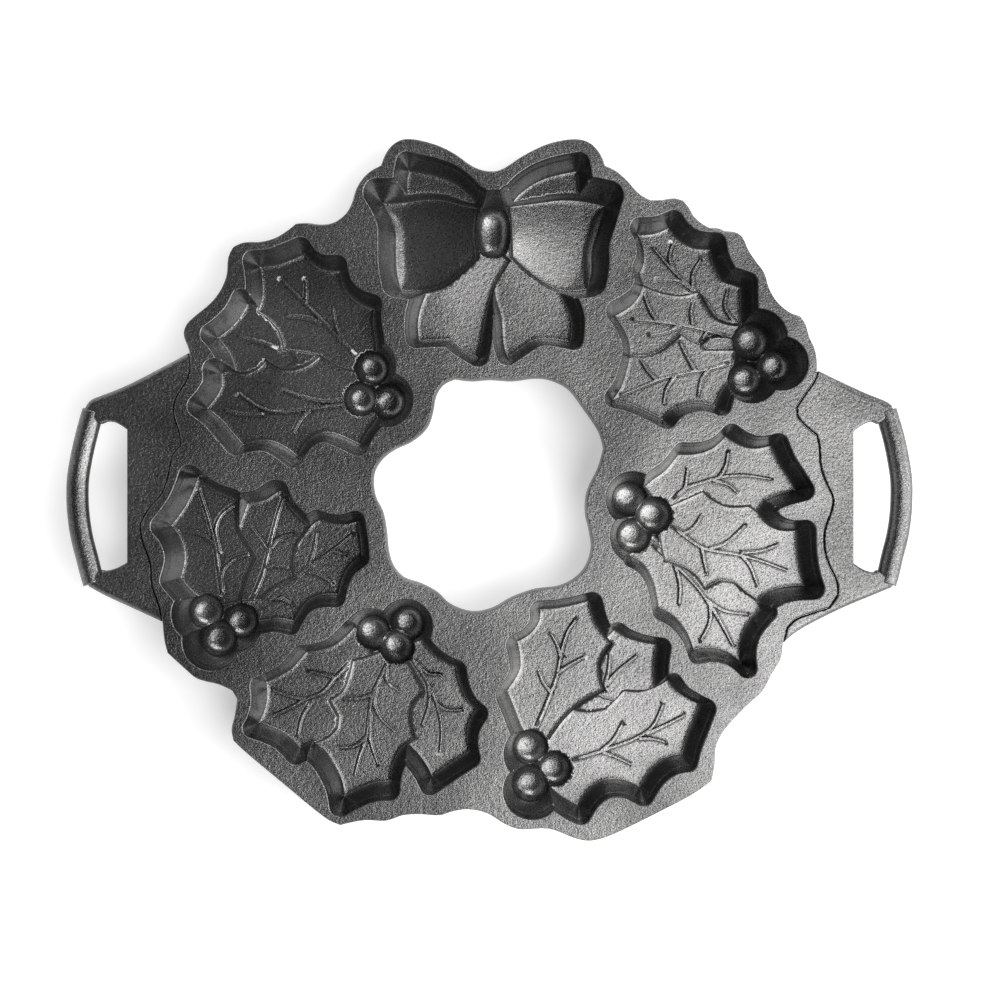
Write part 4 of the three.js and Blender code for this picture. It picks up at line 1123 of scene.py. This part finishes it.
def make_plate():
    """The wavy plate with its opening and the mouths of the cups."""
    low, high = wreath_edge.min(axis=0) - OUTLINE_MARGIN, wreath_edge.max(axis=0) + OUTLINE_MARGIN
    edge, opening = (resample(close(line), LINE_STEP)[:-1] for line in (wreath_edge, middle_opening))
    holes = [opening] + [mouth for cup in cups for mouth in cup.mouths]
    heights = np.full(len(edge) + sum(len(hole) for hole in holes), PLATE_UNDER)
    heights[:len(edge) + len(opening)] = PLATE_WAIST
    xs, ys = grid(low, high, 0)
    rim_field = on_grid(inside_plate, xs, ys)
    lines = level_lines(rim_field, xs, ys, EDGE_LEVELS)
    for cup in cups:
        lines += level_lines(cup.hollow, cup.xs, cup.ys, MOUTH_LEVELS)
    return shell(
        "wreath_plate_iron", ([edge], holes), heights, plate_height, plate_under,
        lines, level_lines(rim_field, xs, ys, UNDER_EDGE_LEVELS, 1.5 * LINE_STEP),
        loose_points(low, high, 1.6 * LOOSE_STEP), loose_points(low, high, 2.5 * LOOSE_STEP),
    )


def make_ear(name, pixels, crisp):
    """A flat ear with rounded outer edges. crisp is the stretch of its outline beside the hand opening."""
    outline = smooth_outline(plan(pixels), corner=EAR_CORNER)
    hand = smooth_line(plan(crisp))

    def inside(points):
        return -signed_distance(points, outline)

    def seam(points):
        return signed_distance(points, wreath_edge) - EAR_SEAM

    def height(points):
        gap = np.clip(inside(points), 0, None)
        near_hand = line_distance(points, hand)[0]
        share = ease((near_hand - gap - EAR_CRISP_REACH) / EAR_CRISP_FADE)
        width = EAR_CRISP + (EAR_ROUND - EAR_CRISP) * share
        rise = np.clip(np.minimum(gap / width, seam(points) / EAR_SEAM_ROUND), 0, 1)
        return PLATE_WAIST + (EAR_TOP - PLATE_WAIST) * np.sqrt(1 - (1 - rise) ** 2)

    def under(points):
        return under_side(inside(points), EAR_UNDER_SLOPE)

    low, high = outline.min(axis=0) - OUTLINE_MARGIN, outline.max(axis=0) + OUTLINE_MARGIN
    xs, ys = grid(low, high, 0, 0.8 * GRID_STEP)
    ear_field, seam_field = on_grid(inside, xs, ys), on_grid(seam, xs, ys)
    rims = loops_at(np.minimum(ear_field, seam_field), xs, ys, 0.0)
    lines = level_lines(ear_field, xs, ys, EAR_LEVELS) + level_lines(seam_field, xs, ys, SEAM_LEVELS)
    return shell(
        name, (rims, []), PLATE_WAIST, height, under, lines, [],
        loose_points(low, high, LOOSE_STEP), loose_points(low, high, 2 * LOOSE_STEP),
    )


def make_grip(name, pixels):
    """An oval bar swept along its centre line, with both its ends closed."""
    line = resample(smooth_line(plan(pixels, GRIP_DEPTH)), 1.0)
    at = np.linspace(0, len(line) - 1, GRIP_STEPS + 1)
    centre = np.stack([np.interp(at, np.arange(len(line)), line[:, k]) for k in (0, 1)], axis=1)
    way = directions(centre)
    out = np.stack([way[:, 1], -way[:, 0]], axis=1)
    turn = np.arange(GRIP_SIDES) * 2 * math.pi / GRIP_SIDES
    ring_out = np.cos(turn) * GRIP_WIDTH / 2
    places = np.zeros((GRIP_STEPS + 1, GRIP_SIDES, 3))
    places[:, :, :2] = centre[:, None, :] + out[:, None, :] * ring_out[None, :, None]
    places[:, :, 2] = GRIP_MIDDLE + np.sin(turn) * GRIP_HEIGHT / 2
    faces = []
    for i in range(GRIP_STEPS):
        here, ahead = i * GRIP_SIDES, (i + 1) * GRIP_SIDES
        for j in range(GRIP_SIDES):
            k = (j + 1) % GRIP_SIDES
            faces += [[here + j, ahead + j, ahead + k], [here + j, ahead + k, here + k]]
    last = GRIP_STEPS * GRIP_SIDES
    for j in range(1, GRIP_SIDES - 1):
        faces += [[0, j, j + 1], [last, last + j + 1, last + j]]
    return make_mesh(name, places.reshape(-1, 3), np.array(faces))


class Maker:
    """Nodes of a material or of the world, and the links between them."""

    def __init__(self, owner):
        owner.use_nodes = True
        self.owner = owner
        self.nodes = owner.node_tree.nodes
        self.links = owner.node_tree.links
        self.coordinates = self.nodes.new("ShaderNodeTexCoord").outputs

    def link(self, value, socket):
        """A socket fed by another node's output, or set to a plain value."""
        if isinstance(value, bpy.types.NodeSocket):
            self.links.new(value, socket)
        else:
            socket.default_value = value

    def fill(self, node, **values):
        """A node's properties, which start with a small letter, and its inputs, with _ for a space."""
        for key, value in values.items():
            if key[0].islower():
                setattr(node, key, value)
            else:
                self.link(value, node.inputs[key.replace("_", " ")])

    def add(self, kind, output, **values):
        """A new node's output."""
        made = self.nodes.new("ShaderNode" + kind)
        self.fill(made, **values)
        return made.outputs[output]

    def noise(self, scale, detail, roughness):
        """Even noise over the object, with that many ripples per metre."""
        place = self.coordinates["Object"]
        return self.add("TexNoise", "Fac", Vector=place, Scale=scale, Detail=detail, Roughness=roughness)

    def ramp(self, value, low, high, start, end):
        """A value's range from low to high turned into one from start to end."""
        limits = {"From_Min": low, "From_Max": high, "To_Min": start, "To_Max": end}
        return self.add("MapRange", "Result", Value=value, **limits)

    def mix(self, share, first, second):
        """A colour between two others."""
        return self.add("Mix", "Result", data_type="RGBA", Factor=share, A=first, B=second)

    def math(self, operation, first, second):
        """A sum or the like of two values."""
        made = self.nodes.new("ShaderNodeMath")
        made.operation = operation
        self.link(first, made.inputs[0])
        self.link(second, made.inputs[1])
        return made.outputs[0]

    def seen(self):
        """1 for the rays of the camera, of gloss and of glass, which see the white background."""
        path = self.nodes.new("ShaderNodeLightPath").outputs
        found = self.math("MAXIMUM", path["Is Camera Ray"], path["Is Glossy Ray"])
        return self.math("MAXIMUM", found, path["Is Transmission Ray"])


def grey(value):
    """A plain grey."""
    return (value, value, value, 1.0)


def iron_material(name, dark, light, relief):
    """Seasoned cast iron: satin black grey, with the sand mould's grain standing relief metres high, and
    painted shade darkening its crevices and its steep faces.
    """
    make = Maker(bpy.data.materials.new(name))
    dark, light = ([value * tone for tone in WARMTH] + [1.0] for value in (dark, light))
    upward = make.add("SeparateXYZ", "Z", Vector=make.coordinates["Normal"])
    openness = make.add("AmbientOcclusion", "AO", samples=CREVICE_SHADE_SAMPLES, Distance=CREVICE_SHADE_REACH)
    grain = make.noise(*GRAIN)
    pebbles = make.noise(*PEBBLES)
    colour = make.mix(make.ramp(make.noise(*PATCHES), *PATCH_RANGE), dark, light)
    colour = make.mix(make.ramp(make.noise(*SPECKS), *SPECK_RANGE), colour, grey(SPECK_GREY))
    colour = make.mix(make.ramp(grain, *PIT_RANGE), colour, grey(PIT_GREY))
    # Painted shade: crevices and steep faces darkened towards a near black grey
    painted_shade = make.math("MAXIMUM", make.ramp(openness, *CREVICE_SHADE_RANGE), make.ramp(upward, *STEEP_SHADE_RANGE))
    height = make.math(
        "ADD", make.math("MULTIPLY", grain, GRAIN_SHARE), make.math("MULTIPLY", pebbles, PEBBLE_SHARE)
    )
    strength = make.ramp(upward, *WALL_GRAIN_RANGE)
    make.fill(
        make.nodes["Principled BSDF"], Base_Color=make.mix(painted_shade, colour, grey(PAINTED_SHADE_GREY)),
        Roughness=make.ramp(grain, *ROUGHNESS_RANGE), Metallic=METALLIC,
        Normal=make.add("Bump", "Normal", Strength=strength, Distance=relief, Height=height),
    )
    return make.owner


def floor_material():
    """Plain white, which keeps the pan's shadow and turns into the white background far from it."""
    make = Maker(bpy.data.materials.new("pale_floor"))
    out = make.add("VectorMath", "Value", operation="LENGTH", Vector=make.coordinates["Object"])
    make.fill(
        make.nodes["Principled BSDF"], Base_Color=grey(FLOOR_GREY), Roughness=FLOOR_ROUGHNESS,
        Emission_Color=grey(1.0),
        Emission_Strength=make.math("MULTIPLY", make.seen(), make.ramp(out, *FLOOR_GLOW)),
    )
    return make.owner


def set_world():
    """White walls under a dark ceiling, which light the pan's gloss, and a dim even fill for the rest."""
    make = Maker(bpy.data.worlds.new("room"))
    up = make.add("SeparateXYZ", "Z", Vector=make.coordinates["Generated"])
    walls = make.math("MULTIPLY", make.seen(), make.ramp(up, WALL_TOP, CEILING, 1.0, FILL))
    make.fill(make.nodes["Background"], Color=grey(1.0), Strength=make.math("MAXIMUM", walls, FILL))
    bpy.context.scene.world = make.owner


def add_light(name, place, aim, size, power):
    """An area lamp of a width and a height, with places in metres."""
    data = bpy.data.lights.new(name, "AREA")
    data.shape = "RECTANGLE"
    data.size, data.size_y = size
    data.energy = power
    lamp = bpy.data.objects.new(name, data)
    lamp.location = place
    lamp.rotation_euler = (Vector(aim) - Vector(place)).to_track_quat("-Z", "Y").to_euler()
    bpy.context.scene.collection.objects.link(lamp)


def make_floor():
    """A pale floor under the pan."""
    mesh = bpy.data.meshes.new("floor")
    corners = [(x * FLOOR_HALF, y * FLOOR_HALF, 0) for x, y in ((-1, -1), (1, -1), (1, 1), (-1, 1))]
    mesh.from_pydata(corners, [], [(0, 1, 2, 3)])
    floor = bpy.data.objects.new("floor", mesh)
    bpy.context.scene.collection.objects.link(floor)
    mesh.materials.append(floor_material())


def add_camera():
    """The photograph's view, straight down on the plate."""
    data = bpy.data.cameras.new("camera")
    camera = bpy.data.objects.new("camera", data)
    x, y = plan([VIEW_CENTRE])[0] * MM
    camera.location = (x, y, (PLATE_TOP + CAMERA_HEIGHT) * MM)
    data.lens = data.sensor_width * CAMERA_HEIGHT / (IMAGE_PIXELS * MM_PER_PIXEL)
    data.clip_start = CLIP_START
    bpy.context.scene.collection.objects.link(camera)
    bpy.context.scene.camera = camera


def add_piece(made, node, material):
    """A piece that stands for a node of the frame."""
    made.data.materials.append(material)
    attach(made, "root")
    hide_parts(node)


plate_iron = iron_material("plate_iron", *PLATE_FINISH)
# The cups' lighter greys are painted light, which makes their floors and bowls brighter than the plate
lit_cup_iron = iron_material("lit_cup_iron", *CUP_LIT_FINISH)
add_piece(make_plate(), "wreath_plate", plate_iron)
for cup in cups:
    add_piece(make_cup(cup), cup.name, lit_cup_iron)
add_piece(make_ear("left_ear_iron", LEFT_EAR, LEFT_HAND_SIDE), "left_ear", plate_iron)
add_piece(make_ear("right_ear_iron", RIGHT_EAR, RIGHT_HAND_SIDE), "right_ear", plate_iron)
add_piece(make_grip("left_grip_iron", LEFT_GRIP), "left_grip", plate_iron)
add_piece(make_grip("right_grip_iron", RIGHT_GRIP), "right_grip", plate_iron)

make_floor()
add_camera()
set_world()
for lamp in LAMPS:
    add_light(*lamp)
bpy.context.scene.view_settings.view_transform = "Standard"
